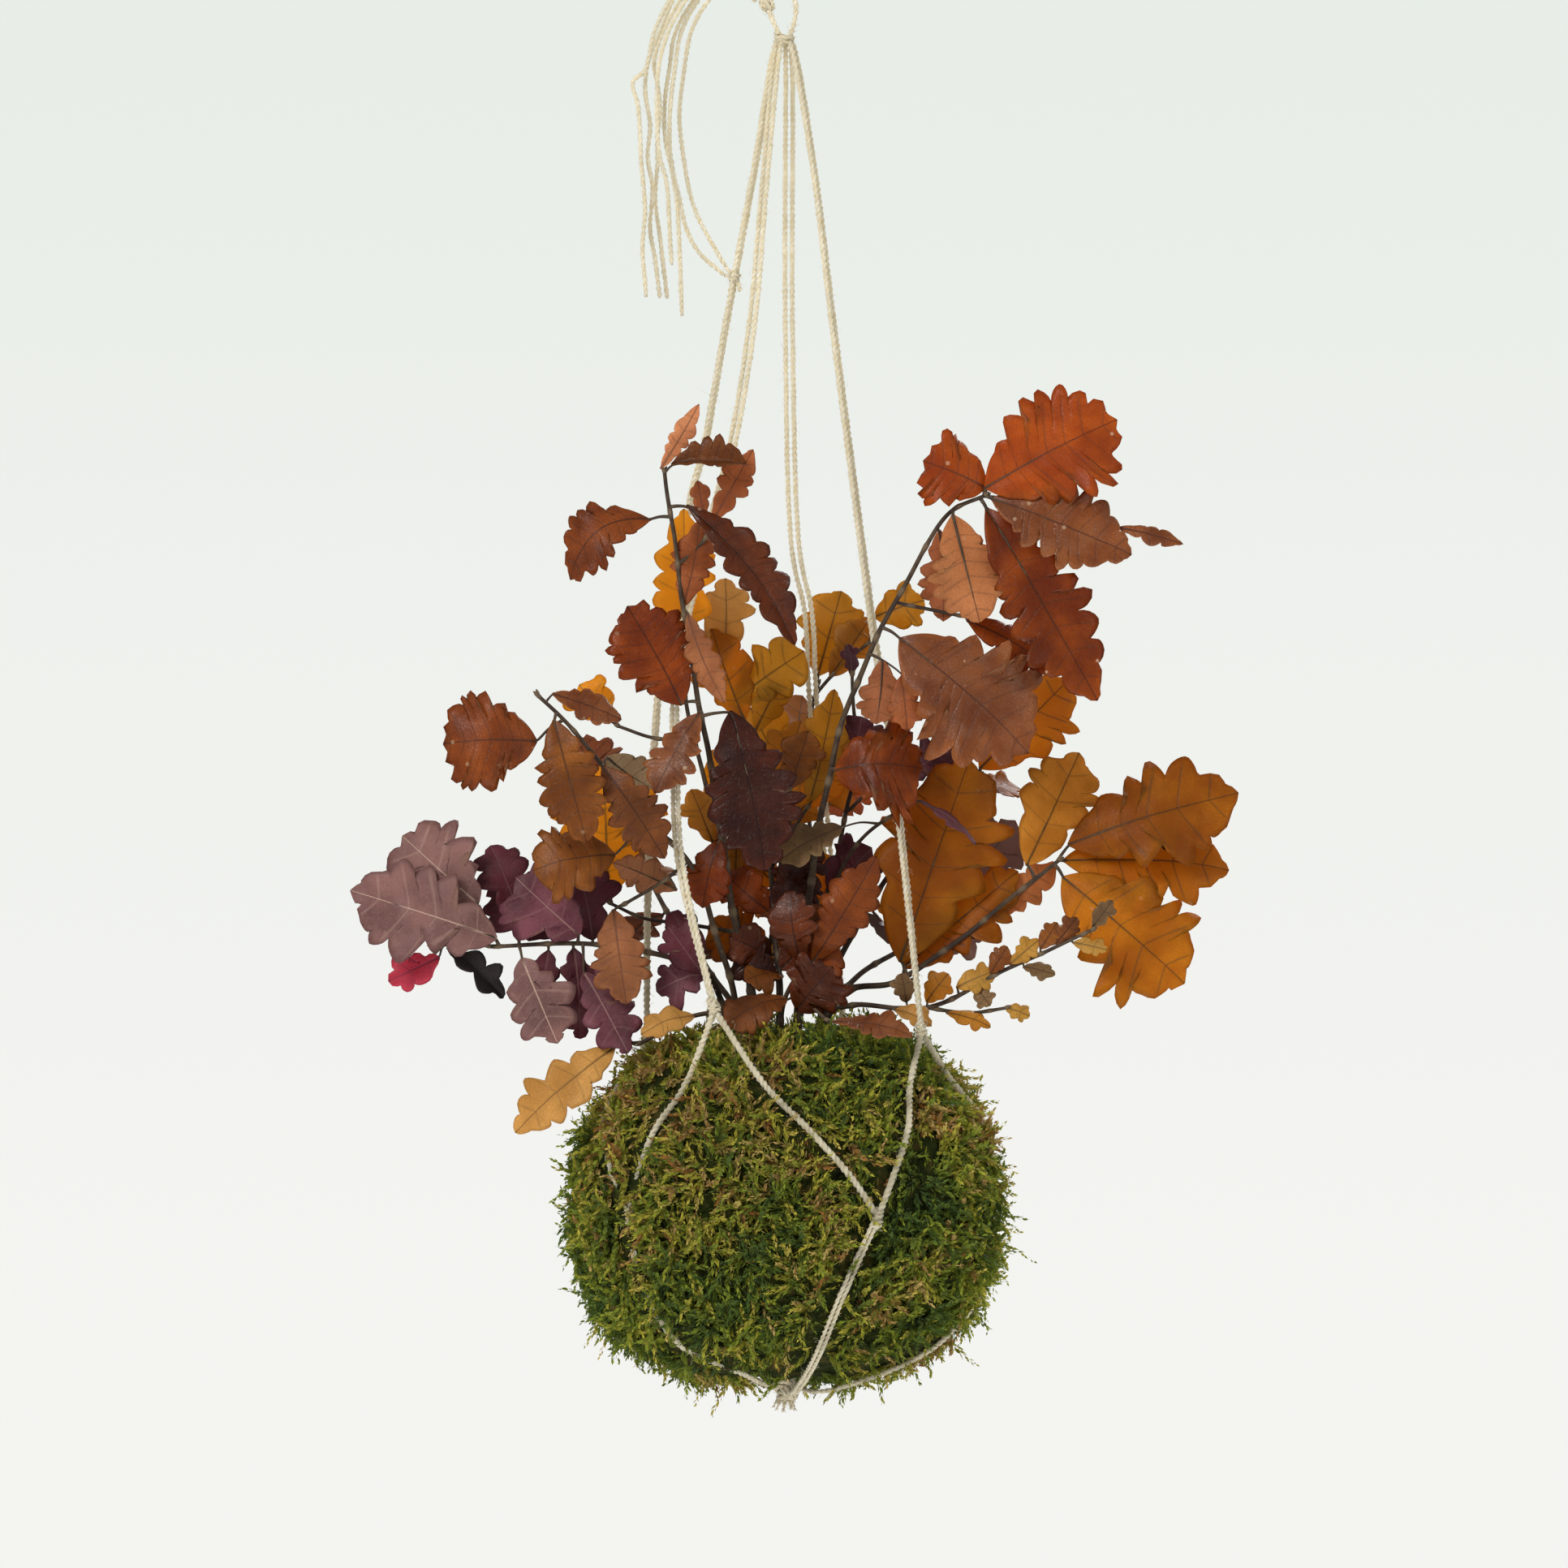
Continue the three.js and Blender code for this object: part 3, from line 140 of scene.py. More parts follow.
class Shader:
    """A material's node tree, and the few ways in which this script adds nodes to it."""

    def __init__(self, name: str) -> None:
        """Makes an empty material of that name."""
        self.material = bpy.data.materials.new(name)
        self.material.use_nodes = True
        self.tree = self.material.node_tree
        self.tree.nodes.clear()
        self.output = self.tree.nodes.new("ShaderNodeOutputMaterial")
        self.place = self.node("ShaderNodeTexCoord", out="Object")

    def node(self, kind: str, settings: dict | None = None, inputs: dict | None = None,
             out: str | int = 0) -> Value:
        """Adds a node.

        Args:
            kind: the node's type.
            settings: its own settings, set first.
            inputs: a value or a wrapped socket for each of its sockets, by name or number.
            out: the socket to give back.

        Returns:
            The wanted output, wrapped.
        """
        node = self.tree.nodes.new(kind)
        for name, value in (settings or {}).items():
            setattr(node, name, value)
        for name, value in (inputs or {}).items():
            if isinstance(value, Value):
                self.tree.links.new(value.socket, node.inputs[name])
            else:
                node.inputs[name].default_value = value
        return Value(self, node.outputs[out])

    def attribute(self, name: str) -> Value:
        """A number that the mesh carries."""
        return self.node("ShaderNodeAttribute", {"attribute_name": name}, out="Fac")

    def noise(self, scale: float, detail: float = 3.0, vector: Value | None = None,
              roughness: float = 0.55) -> Value:
        """Cloudy noise of about 0.5, its scale in cells a metre."""
        return self.node("ShaderNodeTexNoise", None, {
            "Vector": vector or self.place, "Scale": scale, "Detail": detail, "Roughness": roughness})

    def cells(self, scale: float, feature: str = "DISTANCE_TO_EDGE", out: str = "Distance",
              vector: Value | None = None) -> Value:
        """A Voronoi pattern, its scale in cells a metre."""
        return self.node("ShaderNodeTexVoronoi", {"feature": feature},
                         {"Vector": vector or self.place, "Scale": scale}, out)

    def stretched(self, vector: Value, scale: Point) -> Value:
        """A pattern's coordinates, scaled along each axis."""
        return self.node("ShaderNodeMapping", None, {"Vector": vector, "Scale": scale})

    def blend(self, share: Value | float, first: "Value | tuple", second: "Value | tuple") -> Value:
        """First where share is 0 and second where it is 1."""
        return self.node("ShaderNodeMix", {"data_type": "RGBA"},
                         {0: share, 6: first, 7: second}, out=2)

    def ramp(self, share: Value, stops: list[tuple[float, tuple]]) -> Value:
        """Colours along a share from 0 to 1."""
        ramp = self.node("ShaderNodeValToRGB", None, {"Fac": share}, out="Color")
        elements = ramp.socket.node.color_ramp.elements
        while len(elements) > 1:
            elements.remove(elements[-1])
        elements[0].position, elements[0].color = stops[0]
        for position, colour in stops[1:]:
            elements.new(position).color = colour
        return ramp

    def bump(self, height: Value, strength: float, distance: float) -> Value:
        """A normal that follows a height, its distance in metres."""
        return self.node("ShaderNodeBump", None,
                         {"Height": height, "Strength": strength, "Distance": distance}, "Normal")

    def surface(self, **inputs: "Value | float | tuple") -> Value:
        """A Principled surface, its sockets named with underscores for blanks."""
        return self.node("ShaderNodeBsdfPrincipled", None,
                         {name.replace("_", " "): value for name, value in inputs.items()})

    def lit_through(self, body: Value, colour: tuple, share: Value | float) -> bpy.types.Material:
        """Finishes with a body that lets a share of the light through in that colour."""
        light = self.node("ShaderNodeBsdfTranslucent", None, {"Color": colour})
        return self.finish(self.node("ShaderNodeMixShader", None, {0: share, 1: body, 2: light}))

    def finish(self, surface: Value) -> bpy.types.Material:
        """Links the surface and gives back the material."""
        self.tree.links.new(surface.socket, self.output.inputs["Surface"])
        return self.material


# Finishes

THIN_BLUE = 0.78  # blue left in the faces of warm leaves
WARM = 2.3  # red over blue from which a leaf is warm
DEEP = (0.62, 0.62, 0.62)  # this and the next four are shares of a leaf's colour, and what is added to it; the next is the painted shade near the midrib
PAINTED_SHADE = (0.42, 0.42, 0.42)
BACK, BACK_LIFT = (0.55, 0.55, 0.55), (0.16, 0.1, 0.055)
GLOW, GLOW_LIFT = (1.12, 1.12, 1.12), (0.01, 0.01, 0.01)
PAINTED_SHADE_COVER = 0.62  # this and the next five are how fully each layer covers the ones below; this one covers with painted shade and the next with painted sheen
PAINTED_SHEEN_COVER = 0.35
MOTTLE_COVER = 0.25
BACK_COVER = 0.5
MESH_COVER = 0.22
VEIN_COVER = 0.85
FLECK = (226, 196, 160)


@dataclass(frozen=True)
class LeafFinish:
    """A preserved leaf: its face, its cloudy second colour, its midrib, and how light treats it."""

    face: Colour
    patch: Colour
    rib: Colour
    gloss: float = 0.45  # roughness of the upper face
    glow: float = 0.35  # share of light that passes through
    rim: Colour | None = None
    flecks: float = 0.0
    painted_sheen: Colour | None = None  # painted sheen: a paler patchy layer on the upper face that stands in for its soft highlight
    veining: float = 0.45  # how plain the side veins are

    def thin(self) -> float:
        """Share of the blue that the leaf keeps: less where it is of a warm colour."""
        return THIN_BLUE if self.face[0] > WARM * self.face[2] else 1.0

    def vein(self, s: Shader, across: Value) -> Value:
        """1 on the midrib, less on the side veins and 0 between them."""
        gap = (s.attribute("lane").fraction() - 0.5).size() * s.attribute("pitch")
        side = gap.band(0.5, 0.12) * across.band(1.02, 0.7)
        midrib = s.attribute("off").band(0.75, 0.3)
        return s.node("ShaderNodeClamp", None, {"Value": side * self.veining + midrib})

    def colour(self, s: Shader, patch: tuple, across: Value, under: Value, mottle: Value) -> Value:
        """The blade's colour without its veins.

        Args:
            s: the shader.
            patch: the cloudy second colour.
            across: 0 on the midrib and 1 at the edge.
            under: 1 on the back.
            mottle: fine uneven specks.

        Returns:
            The face with its clouds, painted shade, painted sheen, specks, rim and back, laid on in that
            order.
        """
        face = tinted(linear(self.face), (1.0, 1.0, self.thin()))
        deep = tinted(face, DEEP)
        clouds = s.noise(55.0, 4.0).band(0.36, 0.64)
        colour = s.blend(clouds * 0.8 + mottle * 0.2, face, patch)
        # painted shade: dark clouds laid over the inner part of the blade, fading out towards the edge
        shadow = s.noise(26.0, 3.0).band(0.4, 0.62) * (1 - across.band(0.55, 1.1))
        colour = s.blend(shadow * PAINTED_SHADE_COVER, colour, tinted(face, PAINTED_SHADE))
        # painted sheen: a paler patchy layer on the upper face that stands in for a soft highlight
        if self.painted_sheen:
            painted_sheen_mask = s.noise(90.0, 5.0, roughness=0.65).band(0.42, 0.68) * (1 - under)
            colour = s.blend(painted_sheen_mask * PAINTED_SHEEN_COVER, colour, linear(self.painted_sheen))
        colour = s.blend(mottle * MOTTLE_COVER, colour, deep)
        rim = linear(self.rim) if self.rim else deep
        colour = s.blend(across.band(0.8, 1.05) * (0.35 + clouds * 0.35), colour, rim)
        return s.blend(under * BACK_COVER, colour, tinted(face, BACK, BACK_LIFT))

    def material(self, name: str) -> bpy.types.Material:
        """Builds the shader, which reads the blade's own values: across, off, lane, pitch and under."""
        s = Shader(name)
        across, under = s.attribute("across"), s.attribute("under")
        vein = self.vein(s, across)
        mottle = s.noise(320.0, 3.0, roughness=0.7).band(0.3, 0.75)
        mesh = s.cells(650.0).band(0.09, 0.0)
        patch = tinted(linear(self.patch), (1.3, 1.25, 1.2 * self.thin()))
        colour = self.colour(s, patch, across, under, mottle)
        colour = s.blend(mesh * MESH_COVER, colour, linear(self.rib))
        colour = s.blend(vein * VEIN_COVER, colour, linear(self.rib))
        if self.flecks:
            dots = s.cells(150.0, "F1").band(0.16, 0.1)
            chosen = s.node("ShaderNodeSeparateColor", None,
                            {"Color": s.cells(150.0, "F1", "Color")}, "Red").band(0.8, 0.82)
            colour = s.blend(dots * chosen * self.flecks, colour, linear(FLECK))
        height = mesh * -0.5 + mottle * 0.35 + vein * (under * 2.2 - 1.1)
        body = s.surface(
            Base_Color=colour, Roughness=under * 0.3 + mottle * 0.16 + (self.gloss - 0.06),
            Normal=s.bump(height, 0.55, 0.0004), Specular_IOR_Level=0.17, Coat_Weight=0.12,
            Coat_Roughness=self.gloss * 0.85)
        return s.lit_through(body, tinted(patch, GLOW, GLOW_LIFT), (1 - vein * 0.7) * self.glow)


class Tone(Enum):
    """The leaves' finishes: rust and brown ones, then ochre ones, then the two greys and the plum ones."""

    APRICOT = LeafFinish((196, 134, 92), (214, 156, 112), (120, 74, 48), 0.5, 0.4)
    SALMON = LeafFinish((152, 84, 50), (174, 106, 70), (104, 56, 36), 0.55, 0.36)
    DUSTY = LeafFinish((150, 92, 62), (166, 110, 80), (100, 60, 44), 0.6, 0.32)
    TAN = LeafFinish((180, 114, 72), (196, 136, 94), (92, 50, 34), 0.6, 0.38, flecks=0.2)
    SAND = LeafFinish((186, 138, 78), (204, 160, 100), (120, 80, 40), 0.5, 0.4)
    STRAW = LeafFinish((176, 132, 58), (196, 156, 84), (110, 78, 36), 0.55, 0.4)
    SCARLET = LeafFinish((150, 70, 20), (186, 96, 28), (84, 36, 18), 0.4, 0.42, flecks=0.5)
    TAWNY = LeafFinish((108, 48, 14), (160, 80, 20), (62, 26, 12), 0.36, 0.4, flecks=0.7)
    CHESTNUT = LeafFinish((116, 54, 20), (146, 76, 30), (62, 28, 14), 0.42, 0.34, flecks=0.3)
    RUSSET = LeafFinish((112, 44, 10), (146, 66, 14), (50, 20, 10), 0.38, 0.34, flecks=0.2)
    ROSEWOOD = LeafFinish((122, 64, 36), (146, 86, 50), (70, 36, 24), 0.34, 0.3, flecks=0.4,
                          rim=(176, 108, 62), painted_sheen=(140, 102, 78))
    BRONZE = LeafFinish((124, 68, 26), (150, 92, 40), (70, 38, 18), 0.42, 0.34, flecks=0.2)
    COCOA = LeafFinish((106, 56, 26), (130, 76, 40), (58, 30, 16), 0.42, 0.28, flecks=0.3)
    MAHOGANY = LeafFinish((80, 32, 14), (108, 50, 20), (40, 17, 10), 0.34, 0.26, flecks=0.3,
                          painted_sheen=(96, 58, 40))
    EBONY = LeafFinish((52, 18, 12), (78, 32, 18), (28, 10, 8), 0.3, 0.2, painted_sheen=(76, 42, 34))
    AMBER = LeafFinish((142, 84, 10), (168, 108, 18), (70, 36, 10), 0.45, 0.55, flecks=0.15, veining=0.65)
    HAZEL = LeafFinish((166, 112, 34), (196, 142, 60), (84, 50, 18), 0.5, 0.45)
    OCHRE = LeafFinish((166, 118, 26), (196, 148, 48), (86, 52, 18), 0.5, 0.5, veining=0.6)
    HONEY = LeafFinish((166, 104, 14), (190, 130, 26), (80, 42, 14), 0.45, 0.55, flecks=0.2, veining=0.65)
    GOLD = LeafFinish((196, 138, 28), (212, 160, 50), (130, 84, 26), 0.5, 0.6)
    OLIVE = LeafFinish((112, 84, 52), (140, 112, 76), (74, 52, 34), 0.5, 0.3, rim=(150, 120, 84))
    LINEN = LeafFinish((144, 120, 90), (164, 142, 110), (96, 76, 56), 0.7, 0.3)
    MAUVE = LeafFinish((118, 80, 78), (136, 98, 94), (178, 148, 132), 0.62, 0.28,
                       painted_sheen=(158, 120, 118), veining=0.3)
    PURPLE = LeafFinish((96, 48, 60), (122, 68, 80), (140, 104, 100), 0.6, 0.27,
                        painted_sheen=(136, 98, 102), veining=0.3)
    PLUM = LeafFinish((70, 24, 34), (96, 38, 50), (104, 66, 66), 0.5, 0.25, painted_sheen=(104, 66, 72), veining=0.25)
    CRIMSON = LeafFinish((176, 50, 78), (200, 80, 100), (120, 36, 54), 0.5, 0.45)
    INK = LeafFinish((36, 30, 30), (52, 44, 42), (28, 22, 20), 0.6, 0.1)


@dataclass(frozen=True)
class TwineFinish:
    """Two-ply cotton twine: cream fibre with darker grooves, greyer where it lies on the moss."""

    fibre: Colour = (254, 250, 236)
    groove: Colour = (222, 204, 160)
    stain: Colour = (150, 140, 104)
    damp: float = 0.0  # how far the moss has stained it
    thin: float = 0.5  # share of light that passes through

    def material(self, name: str) -> bpy.types.Material:
        """Builds the shader; strands carry how far along and how far round each point lies."""
        s = Shader(name)
        strand = s.node("ShaderNodeAttribute", {"attribute_name": "strand"}, out="Vector")
        streak = s.noise(1.0, 4.0, s.stretched(strand, (0.35, 6.0, 9.0)), 0.65)
        fleck = s.noise(1300.0, 3.0)
        dirt = s.noise(60.0, 4.0).band(0.62, 0.42)
        fibres = streak.band(0.34, 0.62)
        colour = s.blend(fibres, linear(self.groove), linear(self.fibre))
        colour = s.blend(dirt * (0.15 + 0.6 * self.damp), colour, linear(self.stain))
        body = s.surface(
            Base_Color=colour, Roughness=0.95, Specular_IOR_Level=0.15, Sheen_Weight=0.3,
            Sheen_Roughness=0.6, Normal=s.bump(streak + fleck * 0.3, 0.7, 0.0003))
        return s.lit_through(body, linear(self.fibre), self.thin)


@dataclass(frozen=True)
class MossFinish:
    """Feather moss: each shoot has its own place between fresh green and dry straw."""

    # painted shade: the dark colour laid on the bases of the leaflets and of the shoots
    painted_shade: Colour = (26, 32, 10)
    deep: Colour = (52, 86, 14)
    fresh: Colour = (146, 160, 32)
    sunny: Colour = (208, 192, 62)
    straw: Colour = (220, 184, 112)
    rust: Colour = (172, 108, 44)
    glow: Colour = (120, 130, 34)

    def shoots(self) -> bpy.types.Material:
        """The shader of the shoots, which carry a tint of their own and how near the tip they are; their
        bases are darkened as painted shade.
        """
        s = Shader("moss_shoots")
        tint = s.attribute("tint")
        tip = s.attribute("tip")
        colour = s.ramp(tint, [(0.0, linear(self.deep)), (0.38, linear(self.fresh)),
                               (0.62, linear(self.sunny)), (0.8, linear(self.straw)),
                               (1.0, linear(self.rust))])
        speck = s.noise(900.0, 2.0).band(0.35, 0.7)
        # painted shade: darker where the tip value is low, at the base of each leaflet and of each shoot
        colour = s.blend((1 - tip) * 0.62 + speck * 0.1, colour, linear(self.painted_shade))
        body = s.surface(Base_Color=colour, Roughness=0.6 + speck * 0.2, Specular_IOR_Level=0.3,
                         Sheen_Weight=0.12)
        return s.lit_through(body, linear(self.glow), 0.22)

    def bed(self) -> bpy.types.Material:
        """The shader of the matted bed under the shoots, its own dark colour made darker still as painted
        shade for the gaps between them.
        """
        s = Shader("moss_bed")
        patch = s.noise(160.0, 6.0, roughness=0.7)
        tuft = s.cells(420.0, "F1")
        # partly the mat's own dark colour and partly painted shade for the gaps between the shoots
        colour = s.ramp(patch, [(0.3, linear((18, 20, 8))), (0.5, linear((38, 46, 14))),
                                (0.62, linear((66, 58, 26))), (0.75, linear((70, 48, 24)))])
        return s.finish(s.surface(Base_Color=colour, Roughness=0.95, Specular_IOR_Level=0.1,
                                  Normal=s.bump(tuft + patch, 1.0, 0.002)))


@dataclass(frozen=True)
class SoilFinish:
    """Dark damp peat with paler crumbs and fibres."""

    damp: Colour = (34, 25, 18)
    crumb: Colour = (82, 62, 44)

    def material(self) -> bpy.types.Material:
        """Builds the shader."""
        s = Shader("peat")
        grain = s.noise(420.0, 6.0, roughness=0.75)
        crumbs = s.cells(330.0, "F1").band(0.5, 0.15)
        colour = s.blend(grain.band(0.45, 0.7), linear(self.damp), linear(self.crumb))
        return s.finish(s.surface(Base_Color=colour, Roughness=0.92, Specular_IOR_Level=0.2,
                                  Normal=s.bump(grain + crumbs, 1.0, 0.0015)))


@dataclass(frozen=True)
class BarkFinish:
    """Thin oak bark: grey-brown with olive patches, pale pores and lighter knots."""

    bark: Colour = (48, 34, 24)
    patch: Colour = (78, 62, 44)
    pore: Colour = (136, 116, 88)

    def material(self, name: str) -> bpy.types.Material:
        """Builds the shader; stems carry how knotty each point is."""
        s = Shader(name)
        long_noise = s.noise(140.0, 5.0, roughness=0.65)
        pores = s.cells(520.0, "F1").band(0.2, 0.1) * s.noise(90.0, 2.0).band(0.5, 0.7)
        knot = s.attribute("knot")
        colour = s.blend(long_noise.band(0.4, 0.68), linear(self.bark), linear(self.patch))
        colour = s.blend(knot * 0.5 + pores * 0.6, colour, linear(self.pore))
        fine = s.noise(1500.0, 3.0)
        return s.finish(s.surface(
            Base_Color=colour, Roughness=0.62 + long_noise * 0.25, Specular_IOR_Level=0.35,
            Normal=s.bump(long_noise + fine * 0.4 + pores * 0.8, 0.8, 0.0005)))


# Curves and meshes


def spline(points: Route | np.ndarray, spacing: float) -> np.ndarray:
    """A smooth line through points, sampled evenly.

    Args:
        points: what it passes through, in millimetres.
        spacing: the wanted distance between samples.

    Returns:
        The samples, one a row, with both ends kept.
    """
    corners = np.asarray(points, float)
    corners = np.vstack([2 * corners[0] - corners[1], corners, 2 * corners[-1] - corners[-2]])
    line = []
    for p0, p1, p2, p3 in zip(corners, corners[1:], corners[2:], corners[3:]):
        d0, d1, d2 = (max(np.linalg.norm(b - a), 1e-6) ** 0.5 for a, b in ((p0, p1), (p1, p2), (p2, p3)))
        start = ((p1 - p0) / d0 - (p2 - p0) / (d0 + d1) + (p2 - p1) / d1) * d1
        end = ((p2 - p1) / d1 - (p3 - p1) / (d1 + d2) + (p3 - p2) / d2) * d1
        t = np.linspace(0, 1, 24, endpoint=False)[:, None]
        line.append(p1 + start * t + (3 * (p2 - p1) - 2 * start - end) * t**2
                    + (2 * (p1 - p2) + start + end) * t**3)
    line = np.vstack([*line, corners[-2]])
    run = along_line(line)
    count = max(2, round(run[-1] / spacing) + 1)
    marks = np.linspace(0, run[-1], count)
    return np.stack([np.interp(marks, run, line[:, k]) for k in range(3)], 1)


def frames(path: np.ndarray) -> tuple[np.ndarray, np.ndarray, np.ndarray]:
    """Untwisted directions along a line: ahead, and two across."""
    ahead = unit(np.gradient(path, axis=0))
    first = np.empty_like(path)
    across = np.array((0.31, 0.83, 0.46))
    for i, direction in enumerate(ahead):
        across = across - direction * across.dot(direction)
        across /= np.linalg.norm(across)
        first[i] = across
    return ahead, first, np.cross(ahead, first)


def read(items: bpy.types.bpy_prop_collection, name: str, width: int = 1) -> np.ndarray:
    """One value of each point or face of a mesh, as a column, or as rows where it is wider."""
    values = np.empty(len(items) * width, np.float32)
    items.foreach_get(name, values)
    return values.reshape(-1, width) if width > 1 else values


def move(mesh: bpy.types.Mesh, points: np.ndarray) -> None:
    """Puts a mesh's points at places in millimetres."""
    mesh.vertices.foreach_set("co", (points * MM).astype(np.float32).ravel())


def carry(mesh: bpy.types.Mesh, name: str, values: np.ndarray) -> None:
    """Gives a mesh's points a number or a vector of their own, for its finish to read."""
    kind, field = ("FLOAT_VECTOR", "vector") if values.ndim == 2 else ("FLOAT", "value")
    mesh.attributes.new(name, kind, "POINT").data.foreach_set(field, values.astype(np.float32).ravel())


def along_line(line: np.ndarray) -> np.ndarray:
    """How far along a line each of its points lies."""
    return np.concatenate([[0], np.cumsum(np.linalg.norm(np.diff(line, axis=0), axis=1))])


@dataclass
class Heap:
    """A mesh as it grows: points in millimetres, faces, and the values that the points carry."""

    def __post_init__(self) -> None:
        """Starts empty."""
        self.points: list[np.ndarray] = []
        self.quads: list[np.ndarray] = []
        self.tris: list[np.ndarray] = []
        self.values: dict[str, list[np.ndarray]] = {}
        self.count = 0

    def add(self, points: np.ndarray, quads: np.ndarray | None = None,
            tris: np.ndarray | None = None, **values: np.ndarray | float) -> None:
        """Adds points with their faces and values."""
        if quads is not None:
            self.quads.append(np.asarray(quads) + self.count)
        if tris is not None:
            self.tris.append(np.asarray(tris) + self.count)
        self.points.append(points)
        for name, value in values.items():
            whole = np.broadcast_to(value, (len(points),) + np.shape(value)[1:]).astype(np.float32)
            self.values.setdefault(name, []).append(whole)
        self.count += len(points)

    def tube(self, path: np.ndarray, radii: np.ndarray | float, sides: int,
             **values: np.ndarray | float) -> None:
        """Adds a closed round limb, with a value for each sample of its line where one is given."""
        _, first, second = frames(path)
        angle = np.linspace(0, 2 * np.pi, sides, endpoint=False)
        radii = np.broadcast_to(radii, len(path))[:, None, None]
        ring = first[:, None] * np.cos(angle)[:, None] + second[:, None] * np.sin(angle)[:, None]
        points = np.vstack([(path[:, None] + ring * radii).reshape(-1, 3), path[:1], path[-1:]])
        i, k = np.meshgrid(np.arange(len(path) - 1), np.arange(sides), indexing="ij")
        a, b = i * sides + k, i * sides + (k + 1) % sides
        quads = np.stack([a, b, b + sides, a + sides], -1).reshape(-1, 4)
        k = np.arange(sides)
        low, high = len(points) - 2, len(points) - 1
        last = (len(path) - 1) * sides
        tris = np.vstack([np.stack([(k + 1) % sides, k, np.full(sides, low)], 1),
                          np.stack([last + k, last + (k + 1) % sides, np.full(sides, high)], 1)])
        spread = {}
        for name, value in values.items():
            if name == "strand":
                around = np.abs(angle / np.pi - 1)
                run, around = np.meshgrid(along_line(path), around, indexing="ij")
                table = np.stack([run, around, np.full_like(run, value)], -1).reshape(-1, 3)
                spread[name] = np.vstack([table, table[:1], table[-1:]])
            else:
                each = np.repeat(np.broadcast_to(value, len(path)), sides)
                spread[name] = np.concatenate([each, each[:1], each[-1:]])
        self.add(points, quads, tris, **spread)

    def piece(self, name: str, material: bpy.types.Material) -> bpy.types.Object:
        """Makes the object, smooth and in metres."""
        mesh = bpy.data.meshes.new(name)
        quads = np.vstack(self.quads) if self.quads else np.empty((0, 4), int)
        tris = np.vstack(self.tris) if self.tris else np.empty((0, 3), int)
        mesh.vertices.add(self.count)
        move(mesh, np.vstack(self.points))
        corners = np.concatenate([quads.ravel(), tris.ravel()]).astype(np.int32)
        mesh.loops.add(len(corners))
        mesh.loops.foreach_set("vertex_index", corners)
        mesh.polygons.add(len(quads) + len(tris))
        starts = np.concatenate([np.arange(len(quads)) * 4, quads.size + np.arange(len(tris)) * 3])
        mesh.polygons.foreach_set("loop_start", starts.astype(np.int32))
        mesh.update(calc_edges=True)
        mesh.shade_smooth()
        for key, parts in self.values.items():
            carry(mesh, key, np.concatenate(parts))
        mesh.materials.append(material)
        piece = bpy.data.objects.new(name, mesh)
        bpy.context.scene.collection.objects.link(piece)
        return piece


def only(*pieces: bpy.types.Object) -> None:
    """Selects these objects and nothing else, the first of them active."""
    bpy.ops.object.select_all(action="DESELECT")
    for piece in pieces:
        piece.select_set(True)
    bpy.context.view_layer.objects.active = pieces[0]


def report(piece: bpy.types.Object, slot: str, *nodes: str) -> bpy.types.Object:
    """Lets a piece ride on the body, stand for its nodes and say what it is in the log."""
    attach(piece, "root")
    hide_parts(*nodes)
    triangles = len(piece.data.loops) - 2 * len(piece.data.polygons)
    log.info("%s: %d triangles for %s", piece.name, triangles, ", ".join(nodes))
    return piece


# Branches


@dataclass(frozen=True)
class Outline:
    """How the edge of an oak leaf is cut."""

    depth: float  # of the cuts between lobes, as a share of the half width
    narrow: float  # 1 for even waves, more for narrower cuts
    swell: float  # how far a lobe's head overhangs its neck, as a share of a lobe's room
    widest: float  # share of the length at which the veins reach out furthest
    room: float  # length of edge for each lobe, in millimetres
    most: int  # lobes on a side
    tooth: float  # how far each lobe's tip is drawn out
    lean: tuple[float, float]  # degrees by which the veins lean ahead, at the base and at the tip
    wide: float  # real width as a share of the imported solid's
    bare: float  # share of the edge next to the stalk that has no lobes


class Cut(Enum):
    """The outlines of the leaves."""

    BRISTLED = Outline(0.34, 0.95, 0.1, 0.56, 9.2, 7, 0.03, (15, 34), 1.16, 0.34)
    ROUNDED = Outline(0.56, 0.95, 0.08, 0.54, 15.0, 5, 0.04, (22, 42), 1.22, 0.24)
    POINTED = Outline(0.36, 0.8, 0.07, 0.56, 15.0, 5, 0.04, (18, 36), 1.12, 0.34)


@dataclass(frozen=True)
class Stem:
    """A stem from its root to its tip, with its radius at both."""

    points: Route
    thick: float
    thin: float


